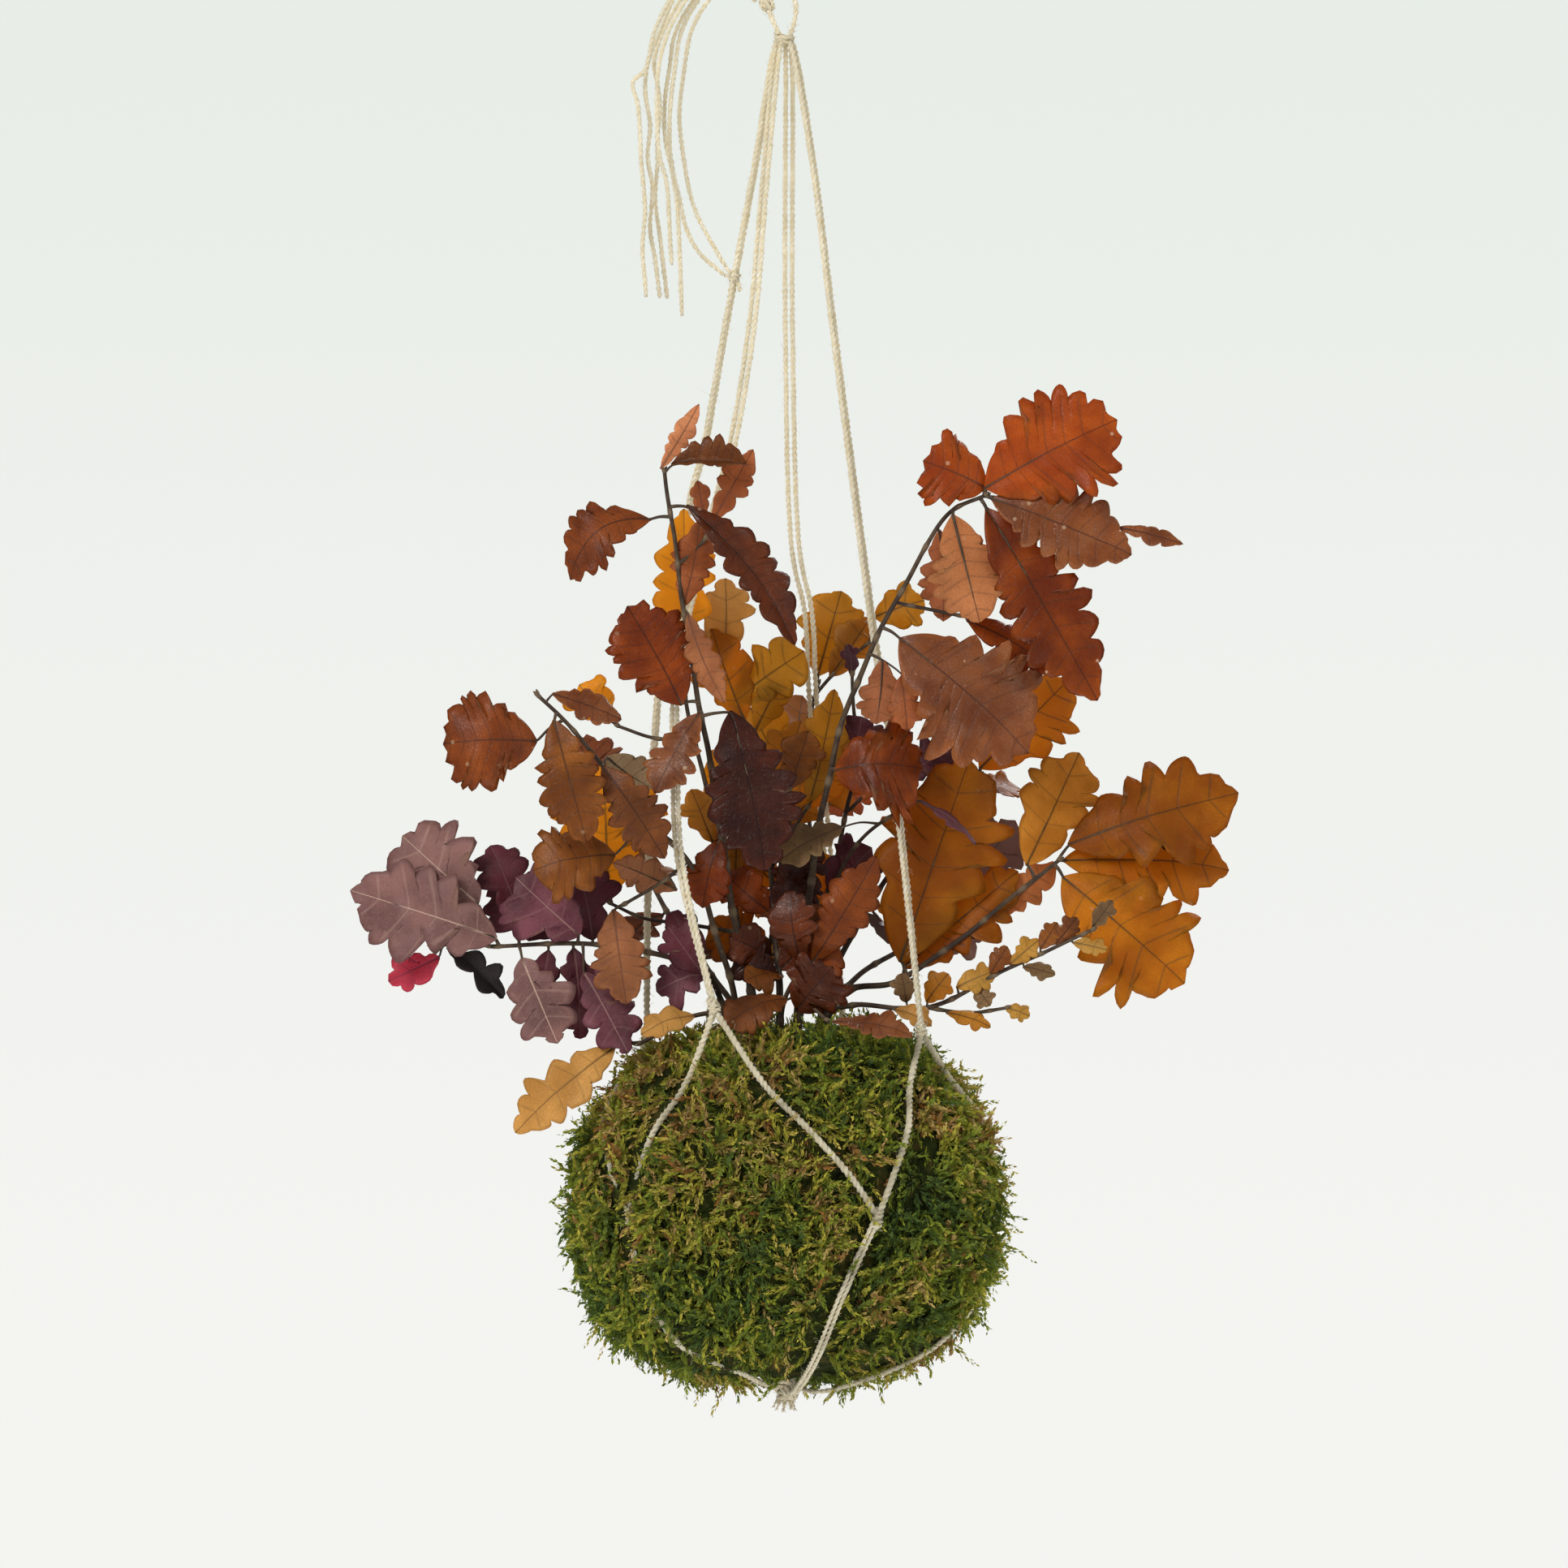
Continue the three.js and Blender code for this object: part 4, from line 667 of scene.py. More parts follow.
@dataclass(frozen=True)
class Leaf:
    """A leaf: where its blade starts and ends, its width, which way it faces and how it bends.

    Its face is given by an azimuth, 0 towards the viewer and 90 towards +X, and an elevation, in degrees.
    """

    base: Point
    tip: Point
    width: float
    face: tuple[float, float]
    arch: float  # how far the middle stands out towards the face
    tone: Tone
    fold: float = 0.0  # rise of the halves beside the midrib
    twist: float = 0.0  # degrees from the base to the tip
    sweep: float = 0.0  # how far the middle lies to the side

    def axes(self) -> tuple[np.ndarray, np.ndarray, np.ndarray, float]:
        """The ways along, to the right and out of the face, and the length."""
        azimuth, elevation = (math.radians(angle) for angle in self.face)
        normal = np.array((math.sin(azimuth) * math.cos(elevation),
                           -math.cos(azimuth) * math.cos(elevation), math.sin(elevation)))
        span = np.subtract(self.tip, self.base)
        length = float(np.linalg.norm(span))
        along = span / length
        normal = unit(normal - along * normal.dot(along))
        return along, np.cross(along, normal), normal, length

    def place(self, ahead: np.ndarray, across: np.ndarray, up: np.ndarray) -> np.ndarray:
        """Points of the bent blade from its flat ones: how far ahead, to the right and up each lies."""
        along, right, normal, length = self.axes()
        t = ahead / length
        turn = np.radians(self.twist) * (t - 0.3)
        bow = 4 * t * (1 - t)
        rise = up + self.fold * np.abs(across)
        sideways = across * np.cos(turn) + rise * np.sin(turn)
        lift = rise * np.cos(turn) - across * np.sin(turn)
        return (np.asarray(self.base) + ahead[:, None] * along
                + (sideways - self.sweep * bow)[:, None] * right + (lift + self.arch * bow)[:, None] * normal)


USUAL_LENGTH = 45.0  # of a blade that has as many rows as its class says
FEWEST_ROWS = 26
EXTRA_ROWS = 14  # that the longest blades have on top
FULL_RELIEF = 9.0  # half width from which a blade has its waves in full
LOBE_RISE = 0.12  # how far the lobes rise at the edge
SINUS_SINK = 0.2  # how far the cuts between them sink
RIDGE = 0.12  # depth of the side veins
RIDGE_WIDTH = 0.08  # share of a lobe's room
CRUMPLE = 1.3  # height of the uneven waves
GROOVE = 0.35  # depth of the midrib's groove
GROOVE_WIDTH = 0.9
WAVE = 0.17  # height of the waves along the edge; this and the next three are shares of the half width
RIPPLE = 0.04  # height of the finer waves on them
TILT = 0.10  # most by which one half rises and the other sinks
CURL = 0.24  # most by which both edges sink
NOD = 0.03  # most by which the tip rises or sinks, as a share of the length


@dataclass
class Blade:
    """The finer mesh of one leaf's blade."""

    leaf: Leaf
    cut: Outline
    seed: int
    thickness: float = 0.32
    columns: int = 10
    rows: int = 46

    def __post_init__(self) -> None:
        """Counts the lobes and draws the leaf's own chances."""
        self.length = self.leaf.axes()[3]
        self.half = self.leaf.width / 2 * self.cut.wide
        self.chance = np.random.default_rng(self.seed)
        self.shares = np.linspace(0, 1, 160)
        self.plain = np.stack(self.uncut(self.shares), 1)
        self.run = along_line(self.plain)
        self.lobes = int(np.clip(round(self.run[-1] / self.cut.room), 2, self.cut.most))
        ahead = np.gradient(self.plain, axis=0)
        self.outward = unit(np.stack([-ahead[:, 1], ahead[:, 0]], 1))
        self.uneven = self.chance.uniform(-1, 1, (2, self.lobes + 2))
        self.phases = self.chance.uniform(0, 2 * np.pi, 6)

    def uncut(self, u: np.ndarray) -> tuple[np.ndarray, np.ndarray]:
        """How far ahead and how far out the edge would lie without its lobes."""
        peak = math.log(0.5) / math.log(self.cut.widest)
        reach = self.half * np.sin(np.pi * np.clip(u, 1e-4, 1 - 1e-4) ** peak) ** 0.72
        lean = np.radians(np.interp(u, (0, 0.8, 1), (*self.cut.lean, self.cut.lean[1])))
        ahead = self.root(u) + reach * np.tan(lean) * 0.62 * smoothstep(0.0, 0.2, u)
        return np.minimum(ahead, self.length * (0.965 + 0.035 * u**6)), reach

    def root(self, u: np.ndarray) -> np.ndarray:
        """How far along the midrib the veins to a place on the edge leave it."""
        return self.length * (0.015 + 0.885 * u + 0.1 * smoothstep(0.85, 1.0, u))

    def lane(self, u: np.ndarray) -> np.ndarray:
        """How many lobes lie before a share of the edge; the tip is the middle of the last."""
        along = np.interp(u, self.shares, self.run) / self.run[-1]
        start = self.cut.bare * 0.5
        return (self.lobes + 0.5) * np.clip((along - start) / (1 - start), 0, 1)

    def edge(self, u: np.ndarray, side: int) -> tuple[np.ndarray, np.ndarray]:
        """How far ahead and how far out the edge lies.

        Args:
            u: shares of the edge, 0 at the stalk and 1 at the tip.
            side: 0 for the left half, 1 for the right.

        Returns:
            The distances ahead and out, in millimetres.
        """
        cut, lane = self.cut, self.lane(u)
        ease = smoothstep(cut.bare * 0.3, cut.bare, u)
        tip = smoothstep(1.0, 0.93, u)
        lane = lane + 0.17 * np.sin(2.1 * lane + self.phases[side]) * tip
        number = np.clip(lane.astype(int), 0, self.lobes + 1)
        phase = lane - number
        ahead, reach = self.uncut(u)
        sinus = (0.5 + 0.5 * np.cos(2 * np.pi * phase)) ** cut.narrow
        deep = cut.depth * (1 + 0.5 * self.uneven[side][number]) * (0.3 * self.half + 0.7 * reach)
        grow = 0.11 * self.uneven[side][number - 1] * self.half * (1 - sinus) * tip
        drawn = cut.tooth * self.half * np.exp(-(((phase - 0.52) / 0.1) ** 2))
        push = (grow + drawn - deep * sinus) * ease * (1 - 0.5 * smoothstep(0.55, 0.95, u))
        slide = -cut.swell * self.run[-1] / self.lobes * np.sin(2 * np.pi * phase) * ease * tip
        out_ahead, out_reach = (np.interp(u, self.shares, self.outward[:, k]) for k in range(2))
        ahead = ahead + push * out_ahead + slide * out_reach
        reach = reach + push * out_reach - slide * out_ahead
        floor = 0.5 * smoothstep(1.0, 0.97, u)
        return np.clip(ahead, 0, self.length * 1.04), np.maximum(reach, floor)

    def shape(self, across: np.ndarray, u: np.ndarray) -> tuple[np.ndarray, dict[str, np.ndarray]]:
        """Bends a flat grid into the blade.

        Args:
            across: -1 at the left edge, 0 on the midrib and 1 at the right edge.
            u: share of the edge from the stalk to the tip.

        Returns:
            The points from the crown, and the values that the finish reads.
        """
        size = np.abs(across)
        root = self.root(u)
        left, right = self.edge(u, 0), self.edge(u, 1)
        far = np.where(across < 0, left[0], right[0])
        reach = np.where(across < 0, left[1], right[1])
        ahead = root + (far - root) * size**1.12
        out = np.sign(across) * reach * size
        t = ahead / self.length
        phase = self.lane(u) % 1.0
        sinus = (0.5 + 0.5 * np.cos(2 * np.pi * phase)) * smoothstep(0.05, 0.2, u)
        half = self.half
        wave, ripple, tilt, curl, nod = self.phases[:5]
        calm = min(1.0, half / FULL_RELIEF)
        wide = np.minimum(np.abs(out) / half, 1.15)
        up = size**2 * (LOBE_RISE - SINUS_SINK * sinus) * calm
        ridge = np.exp(-((phase - 0.5) / RIDGE_WIDTH) ** 2)
        up -= RIDGE * calm * ridge * np.sqrt(size * (1.02 - np.minimum(size, 1)))
        crumple = [noise.noise(Vector((x / 8, y / 10, self.seed))) for x, y in zip(out, ahead)]
        up += CRUMPLE * calm * np.array(crumple) * (0.4 + 1.2 * wide)
        up += calm * wide**2 * half * (WAVE * np.sin(9 * t + wave + 1.5 * np.sign(across))
                                       + RIPPLE * np.sin(17 * t + ripple) * across)
        up += half * TILT * np.sin(tilt) * out * np.abs(out) / half**2
        up -= half * CURL * (0.4 + 0.6 * np.sin(curl)) * (out / half) ** 2
        up += self.length * NOD * np.sin(nod + 5 * t) * t
        up -= GROOVE * calm * np.exp(-(out / GROOVE_WIDTH) ** 2)
        values = {"across": size, "lane": self.lane(u), "off": np.abs(out) * (1 + 1.6 * t),
                  "pitch": np.full_like(u, self.length * 0.8 / self.lobes)}
        return self.leaf.place(ahead, out, up), values

    def midrib(self, shares: np.ndarray, drop: np.ndarray) -> np.ndarray:
        """Points under the midrib at shares of the edge, each a little below the blade."""
        points, _ = self.shape(np.zeros_like(shares), shares)
        return points - self.leaf.axes()[2] * drop[:, None]

    def piece(self, material: bpy.types.Material) -> bpy.types.Object:
        """Shapes a flat grid into the blade and gives it its thickness."""
        rows = int(np.clip(self.rows * self.length / USUAL_LENGTH, FEWEST_ROWS, self.rows + EXTRA_ROWS))
        bpy.ops.mesh.primitive_grid_add(x_subdivisions=self.columns, y_subdivisions=rows, size=2)
        piece = bpy.context.object
        flat = read(piece.data.vertices, "co", 3).astype(float)
        across = np.sign(flat[:, 0]) * np.abs(flat[:, 0]) ** 0.9
        points, values = self.shape(across, np.clip(flat[:, 1] / 2 + 0.5, 0, 1))
        move(piece.data, points + CROWN)
        for name, value in values.items():
            carry(piece.data, name, value)
        piece.data.materials.append(material)
        skin = piece.modifiers.new("thickness", "SOLIDIFY")
        skin.thickness = self.thickness * MM
        skin.offset = 0.0
        bpy.ops.object.modifier_apply(modifier=skin.name)
        # Solidify keeps the upper skin's points first
        under = np.zeros(len(piece.data.vertices))
        under[len(flat):] = 1.0
        carry(piece.data, "under", under)
        piece.data.shade_smooth()
        return piece


KNOT_EVERY = 21.0  # distance between a stem's knots
KNOT_SWELL = 0.35  # share of the radius
SWAY = 0.35  # how far a stem leaves its smooth line
WOOD_STEP = 1.6  # distance between a stem's rings
BUD_MARKS = (-0.6, 0.4, 1.3, 2.2, 2.8)  # rings of a bud, from the stem's tip
BUD_RADII = (0.5, 0.95, 0.85, 0.45, 0.08)
RIB_MARKS = (0.02, 0.12, 0.3, 0.5, 0.7, 0.86)  # shares of the edge
RIB_DROPS = (0.2, 0.35, 0.32, 0.28, 0.22, 0.16)  # how far below the blade the midrib's axis lies there


@dataclass(frozen=True)
class Branch:
    """A leafy branch that stands for one node."""

    node: str
    slot: str
    cut: Cut
    stems: tuple[Stem, ...]
    leaves: tuple[Leaf, ...]
    bark: BarkFinish = BarkFinish()

    def foot(self, point: Point) -> np.ndarray:
        """The nearest place on the stems to a point."""
        lines = np.vstack([spline(stem.points, 2.0) for stem in self.stems])
        return lines[np.linalg.norm(lines - point, axis=1).argmin()]

    def wooden(self, seed: int) -> bpy.types.Object:
        """Stems with their knots and buds, and the stalks that run on as midribs under the blades."""
        heap = Heap()
        for number, stem in enumerate(self.stems):
            line = spline(stem.points, WOOD_STEP)
            share = np.linspace(0, 1, len(line))
            run = share * len(line) * WOOD_STEP
            beside = (run + 5 * seed + 9 * number) % KNOT_EVERY - KNOT_EVERY / 2
            knots = np.exp(-(beside / 1.5) ** 2)
            radii = (stem.thick + (stem.thin - stem.thick) * share) * (1 + KNOT_SWELL * knots)
            sway = np.stack([np.sin(run / 7 + seed), np.cos(run / 9 + 2 * seed), 0 * run], 1) * SWAY
            line = line + sway * np.minimum(share * 8, 1)[:, None]
            heap.tube(line + CROWN, radii, 10, knot=knots)
            ahead = unit(line[-1] - line[-3])
            for k in range(3):
                way = unit(ahead + 0.5 * np.array((math.cos(2.1 * k), math.sin(2.1 * k), 0.4)))
                bud = line[-1] + way * np.array(BUD_MARKS)[:, None]
                heap.tube(bud + CROWN, np.array(BUD_RADII), 7, knot=np.full(len(BUD_MARKS), 0.8))
        for number, leaf in enumerate(self.leaves):
            blade = Blade(leaf, self.cut.value, 100 * seed + number)
            foot = self.foot(leaf.base)
            small = min(1.0, leaf.width / 24)
            rib = blade.midrib(np.array(RIB_MARKS), np.array(RIB_DROPS))
            middle = (foot + rib[0]) / 2 + np.array((0, 0, 0.06 * np.linalg.norm(foot - rib[0])))
            line = spline(np.vstack([foot, middle, rib]), WOOD_STEP)
            share = np.linspace(0, 1, len(line))
            radii = np.interp(share, (0, 0.12, 0.4, 1), (0.85, 0.6, 0.5, 0.16)) * (0.55 + 0.45 * small)
            heap.tube(line + CROWN, radii, 6, knot=np.interp(share, (0, 0.06, 1), (0.6, 0.1, 0.15)))
        return heap.piece(self.node + "_wood", self.bark.material(self.node + "_bark"))

    def build(self, seed: int, finishes: dict[Tone, bpy.types.Material]) -> bpy.types.Object:
        """Makes the branch, one object with all its blades."""
        blades = [Blade(leaf, self.cut.value, 100 * seed + number).piece(finishes[leaf.tone])
                  for number, leaf in enumerate(self.leaves)]
        wood = self.wooden(seed)
        only(wood, *blades)
        bpy.ops.object.join()
        spray = bpy.context.object
        spray.name = self.node + "_spray"
        return report(spray, self.slot, self.node)


BRANCHES: tuple[Branch, ...] = (
    Branch("rust_branch_left", "rust_leaf", Cut.BRISTLED, stems=(
        Stem(((-9, -12, -32), (-11, -13, -8), (-20, -20, 31), (-24, -28, 55), (-29, -37, 88),
              (-37, -46, 135), (-43, -50, 175), (-48, -52, 212)), 1.6, 0.8),
        Stem(((-43, -50, 175), (-33, -47, 184), (-29, -47, 190)), 0.8, 0.7),
    ), leaves=(
        Leaf((-50, -53, 213), (-34, -53, 239.5), 8, (10, 0), 2, Tone.APRICOT, twist=10),
        Leaf((-46, -54, 215), (-15, -57, 214.5), 14, (10, 40), 3, Tone.COCOA, fold=0.8),
        Leaf((-53, -53, 193), (-86, -59, 169), 23, (-10, 10), 5, Tone.CHESTNUT, twist=-10, sweep=-8),
        Leaf((-40, -55, 199.5), (5, -61, 143), 22, (30, 20), 6, Tone.MAHOGANY, fold=0.4, twist=10),
        Leaf((-41, -47, 157), (-34, -45, 193), 15, (20, 0), 3, Tone.SALMON),
        Leaf((-29, -47, 192), (-12.5, -49, 221.5), 12, (0, 0), 3, Tone.SALMON, twist=10),
        Leaf((-32, -46, 194), (-35, -47, 209), 7, (0, 0), 1, Tone.SALMON),
        Leaf((-39, -51, 156), (-24.5, -55, 119), 12, (-20, 0), 4, Tone.DUSTY, twist=10),
        Leaf((-41, -47, 117.5), (-63, -51, 158), 32, (10, 5), 4, Tone.RUSSET),
        Leaf((-34, -45, 115.5), (-52, -50, 82.5), 19, (-20, 10), 3, Tone.ROSEWOOD),
        Leaf((-22, -40, 117), (-8, -44, 51), 34, (15, 10), 6, Tone.EBONY, twist=10),
        Leaf((-26, -31, 64), (-33, -33, 36), 18, (-15, 5), 4, Tone.RUSSET),
    )),
    Branch("rust_branch_arching", "rust_leaf", Cut.BRISTLED, stems=(
        Stem(((-17, -9, -32), (-19, -12, -8), (-26, -24, 20), (-39, -34, 55), (-59, -43, 75),
              (-74, -48, 95), (-89, -52, 112), (-99, -54, 122)), 1.4, 0.8),
        Stem(((-39, -34, 55), (-50, -32, 46), (-64, -29, 38)), 0.8, 0.7),
    ), leaves=(
        Leaf((-99, -55, 103.5), (-137, -58, 102.5), 38, (-5, 10), 6, Tone.CHESTNUT, twist=-10),
        Leaf((-93, -56, 113), (-79.5, -60, 63), 24, (0, 0), 5, Tone.BRONZE, twist=10),
        Leaf((-74, -51, 94), (-48, -55, 56.5), 20, (10, 5), 5, Tone.COCOA),
        Leaf((-94, -51, 123), (-66, -46, 112), 13, (0, 30), 2, Tone.ROSEWOOD),
        Leaf((-72, -44, 97.5), (-53.5, -42, 85), 20, (180, -20), 4, Tone.LINEN),
        Leaf((-68, -36, 57.5), (-101.5, -42, 51), 28, (0, 20), 6, Tone.BRONZE),
        Leaf((-43, -31, 43), (-69.5, -29, 54.5), 13, (150, 0), 2, Tone.DUSTY),
        Leaf((-69.5, -29, 36), (-64, -33, -3), 21, (0, 0), 4, Tone.DUSTY),
    )),
    Branch("rust_branch_right", "rust_leaf", Cut.BRISTLED, stems=(
        Stem(((6, -14, -32), (6, -15, -8), (8, -17, 20), (11, -20, 48), (18, -25, 88), (25, -29, 115),
              (36, -34, 142), (58, -41, 183), (68, -43, 197), (81, -44, 203)), 1.6, 0.8),
        Stem(((45, -37, 160), (60, -36, 157), (74, -36, 154)), 0.8, 0.7),
    ), leaves=(
        Leaf((80.5, -45, 205.5), (134, -51, 233.5), 44, (0, 10), 5, Tone.SCARLET),
        Leaf((82, -42, 206), (56.5, -47, 217), 30, (-20, 20), 3, Tone.SCARLET),
        Leaf((83, -46, 202), (140, -53, 178.5), 30, (0, 15), 5, Tone.ROSEWOOD),
        Leaf((81, -42, 199.5), (126.5, -47, 120), 32, (0, 10), 7, Tone.TAWNY),
        Leaf((68, -47, 196), (79, -53, 151.5), 27, (180, 5), 4, Tone.TAN),
        Leaf((63, -37, 190), (65, -33, 152.5), 18, (160, 0), 3, Tone.SALMON),
        Leaf((73.5, -37, 153), (113, -38, 131.5), 18, (0, 30), 3, Tone.TAWNY),
        Leaf((46, -42, 146), (98.5, -50, 99), 47, (-10, 25), 7, Tone.ROSEWOOD),
        Leaf((40, -38, 137), (37.5, -43, 110.5), 17, (170, 0), 3, Tone.SALMON),
        Leaf((20, -31, 91.5), (56, -38, 93), 38, (20, 20), 6, Tone.TAWNY),
        Leaf((48, -39, 131), (50, -42, 108), 14, (0, 0), 2, Tone.SALMON),
        Leaf((134, -50, 190), (161, -54, 183), 7, (0, 20), 2, Tone.ROSEWOOD, twist=20),
    )),
    Branch("rust_branch_back", "rust_leaf", Cut.BRISTLED, stems=(
        Stem(((4, 16, -32), (5, 19, -8), (8, 40, 16), (12, 64, 40), (12, 86, 60), (10, 104, 80)), 1.5, 0.8),
    ), leaves=(
        Leaf((10, 106, 83), (0, 128, 118), 28, (180, 10), 5, Tone.CHESTNUT),
        Leaf((12, 98, 75), (38, 118, 96), 26, (150, 20), 5, Tone.SCARLET),
        Leaf((11, 88, 63), (-16, 112, 70), 26, (200, 20), 5, Tone.RUSSET),
        Leaf((13, 72, 48), (36, 92, 36), 24, (150, 30), 5, Tone.TAWNY),
        Leaf((11, 60, 36), (-12, 82, 30), 24, (200, 30), 5, Tone.BRONZE),
    )),
    Branch("rust_branch_back_left", "brown_leaf", Cut.BRISTLED, stems=(
        Stem(((-18, 9, -32), (-20, 12, -8), (-32, 30, 10), (-48, 52, 32), (-62, 68, 56),
              (-72, 78, 78)), 1.4, 0.8),
    ), leaves=(
        Leaf((-73, 79, 81), (-88, 92, 106), 26, (200, 10), 5, Tone.RUSSET),
        Leaf((-66, 70, 63), (-92, 74, 58), 24, (220, 10), 5, Tone.COCOA),
        Leaf((-56, 63, 45), (-58, 90, 60), 26, (190, 20), 5, Tone.BRONZE),
        Leaf((-50, 54, 32), (-70, 66, 16), 22, (220, 20), 4, Tone.CHESTNUT),
        Leaf((-36, 38, 18), (-36, 66, 12), 24, (190, 30), 4, Tone.MAHOGANY),
    )),
    Branch("brown_leaves_low", "brown_leaf", Cut.BRISTLED, stems=(
        Stem(((-1, -19, -32), (-1, -21, -8), (3, -24, 4), (9, -26, 12)), 1.3, 0.8),
        Stem(((3, -24, 4), (10, -34, -3), (17, -41, -9)), 0.8, 0.7),
        Stem(((-1, -21, -8), (-2, -16, 10), (-4, -12, 34), (-6, -8, 60), (2, -6, 84)), 1.0, 0.6),
    ), leaves=(
        Leaf((2, -32, -1), (-25, -44, -12), 20, (-10, 50), 4, Tone.COCOA),
        Leaf((5, -31, -6), (20, -36, 12), 26, (10, 20), 5, Tone.MAHOGANY),
        Leaf((19, -42, -10), (52, -50, -16), 14, (10, 50), 3, Tone.ROSEWOOD),
        Leaf((11, -27, 13), (37.5, -31, 57), 20, (10, 0), 5, Tone.CHESTNUT),
        Leaf((7, -27, 14), (2, -31, 43), 19, (-15, 0), 4, Tone.MAHOGANY),
        Leaf((-5, -13, 16), (-22, -20, 24), 17, (-20, 10), 3, Tone.MAHOGANY),
        Leaf((0, -13, 22), (18, -18, 34), 18, (10, 10), 3, Tone.COCOA),
        Leaf((-6, -12, 34), (-24, -16, 50), 18, (-15, 0), 3, Tone.RUSSET),
        Leaf((-2, -9, 44), (14, -12, 62), 18, (10, 5), 3, Tone.EBONY, twist=10),
        Leaf((-8, -8, 56), (-20, -10, 80), 18, (-10, 0), 3, Tone.COCOA),
        Leaf((2, -6, 84), (10, -8, 108), 17, (5, 0), 3, Tone.BRONZE),
        Leaf((0, -14, 8), (-16, -24, 6), 15, (-20, 40), 3, Tone.BRONZE),
        Leaf((6, -22, 6), (22, -22, 20), 18, (10, 10), 4, Tone.TAWNY),
        Leaf((-4, -12, 34), (10, -6, 52), 20, (0, 0), 3, Tone.EBONY),
        Leaf((-3, -17, 6), (-20, -14, 18), 18, (-15, 10), 3, Tone.EBONY),
        Leaf((-2, -16, 10), (14, -10, 26), 18, (10, 10), 3, Tone.MAHOGANY),
    )),
    Branch("ochre_branch_right", "ochre_leaf", Cut.POINTED, stems=(
        Stem(((17, -3, -32), (19, -4, -8), (27, -6, 2), (45, -8, 5), (71, -9, 22), (91, -10, 38),
              (112, -12, 55)), 1.5, 0.8),
    ), leaves=(
        Leaf((47, -10, 12), (75.5, -15, 96), 50, (0, 5), 3, Tone.AMBER),
        Leaf((48, -5, 10), (96, -3, 50), 30, (-10, 10), 3, Tone.AMBER),
        Leaf((99, -8, 52), (121, -5, 99), 31, (0, 0), 4, Tone.HAZEL),
        Leaf((115, -13, 61), (185, -18, 83), 41, (0, 15), 6, Tone.AMBER),
        Leaf((113, -10, 55), (182, -7, 51), 34, (0, 25), 5, Tone.HONEY),
        Leaf((113, -14, 49), (163, -21, 5), 48, (0, 10), 6, Tone.HONEY),
        Leaf((86, -5, 31), (112, 3, 54), 14, (20, 20), 2, Tone.TAN),
    )),
    Branch("ochre_branch_back_left", "ochre_leaf", Cut.POINTED, stems=(
        Stem(((-12, 2, -32), (-13, 3, -8), (-18, 4, 25), (-25, 4, 60), (-36, 3, 100),
              (-42, 2, 131)), 1.4, 0.8),
        Stem(((-18, 4, 25), (-42, 6, 29), (-58, 6, 31), (-71, 6, 37)), 0.9, 0.7),
        Stem(((-37, 3, 105), (-52, 4, 105), (-68, 4, 110)), 0.8, 0.7),
    ), leaves=(
        Leaf((-43.5, 0, 131), (-41, -4, 199), 24, (10, 0), 4, Tone.GOLD),
        Leaf((-72, 4, 40), (-74, 0, 94), 42, (0, 0), 4, Tone.GOLD),
        Leaf((-29, 2, 62), (-38, -2, 84), 15, (0, 0), 3, Tone.HAZEL),
        Leaf((-20, 2, 48), (-22, -2, 78), 15, (20, 0), 3, Tone.HAZEL),
        Leaf((-72, 3, 112), (-84, 0, 127), 20, (0, 0), 3, Tone.GOLD),
    )),
    Branch("ochre_branch_centre", "ochre_leaf", Cut.POINTED, stems=(
        Stem(((-2, 8, -32), (-2, 9, -8), (-4, 11, 30), (-8, 13, 70), (-14, 15, 105),
              (-25, 18, 134)), 1.4, 0.8),
        Stem(((-6, 12, 50), (2, 12, 64), (9, 10, 76)), 0.8, 0.7),
    ), leaves=(
        Leaf((-25.5, 18, 137), (-24, 16, 171), 22, (20, 0), 3, Tone.SAND),
        Leaf((-20, 15, 121), (8, 11, 141), 25, (0, 10), 3, Tone.OCHRE),
        Leaf((-12, 14, 108), (-1, 12, 130), 14, (0, 0), 2, Tone.OCHRE),
        Leaf((-6, 12, 74), (7, 9, 112), 24, (0, 0), 4, Tone.HAZEL),
        Leaf((10, 10, 77), (21, 6, 125), 18, (10, 0), 4, Tone.OCHRE),
        Leaf((-16, 15, 112), (-30, 12, 150), 24, (-10, 0), 3, Tone.HONEY),
        Leaf((-8, 13, 72), (-30, 10, 100), 24, (-10, 0), 3, Tone.GOLD),
        Leaf((9, 10, 76), (28, 14, 104), 22, (10, 0), 3, Tone.HONEY),
        Leaf((-6, 12, 50), (-26, 10, 72), 22, (-10, 5), 3, Tone.AMBER),
        Leaf((-4, 12, 36), (16, 14, 58), 22, (10, 5), 3, Tone.HONEY),
    )),
    Branch("ochre_branch_back", "ochre_leaf", Cut.POINTED, stems=(
        Stem(((-8, 15, -32), (-8, 18, -8), (-4, 34, 30), (2, 50, 70), (8, 60, 105),
              (14, 64, 128)), 1.4, 0.8),
        Stem(((12, 63, 122), (26, 61, 138), (36, 58, 146)), 0.8, 0.7),
    ), leaves=(
        Leaf((14, 65, 131), (24, 66, 167), 27, (0, 0), 4, Tone.OCHRE),
        Leaf((19, 62, 131), (36, 60, 156), 18, (10, 0), 3, Tone.HAZEL),
        Leaf((37.5, 58, 156), (58.5, 54, 163), 20, (0, 10), 3, Tone.OCHRE),
        Leaf((0, 54, 74), (-24, 84, 88), 24, (170, 20), 4, Tone.HONEY),
        Leaf((7, 64, 102), (8, 98, 124), 26, (180, 30), 4, Tone.AMBER),
        Leaf((6, 56, 82), (34, 80, 84), 24, (150, 20), 4, Tone.OCHRE),
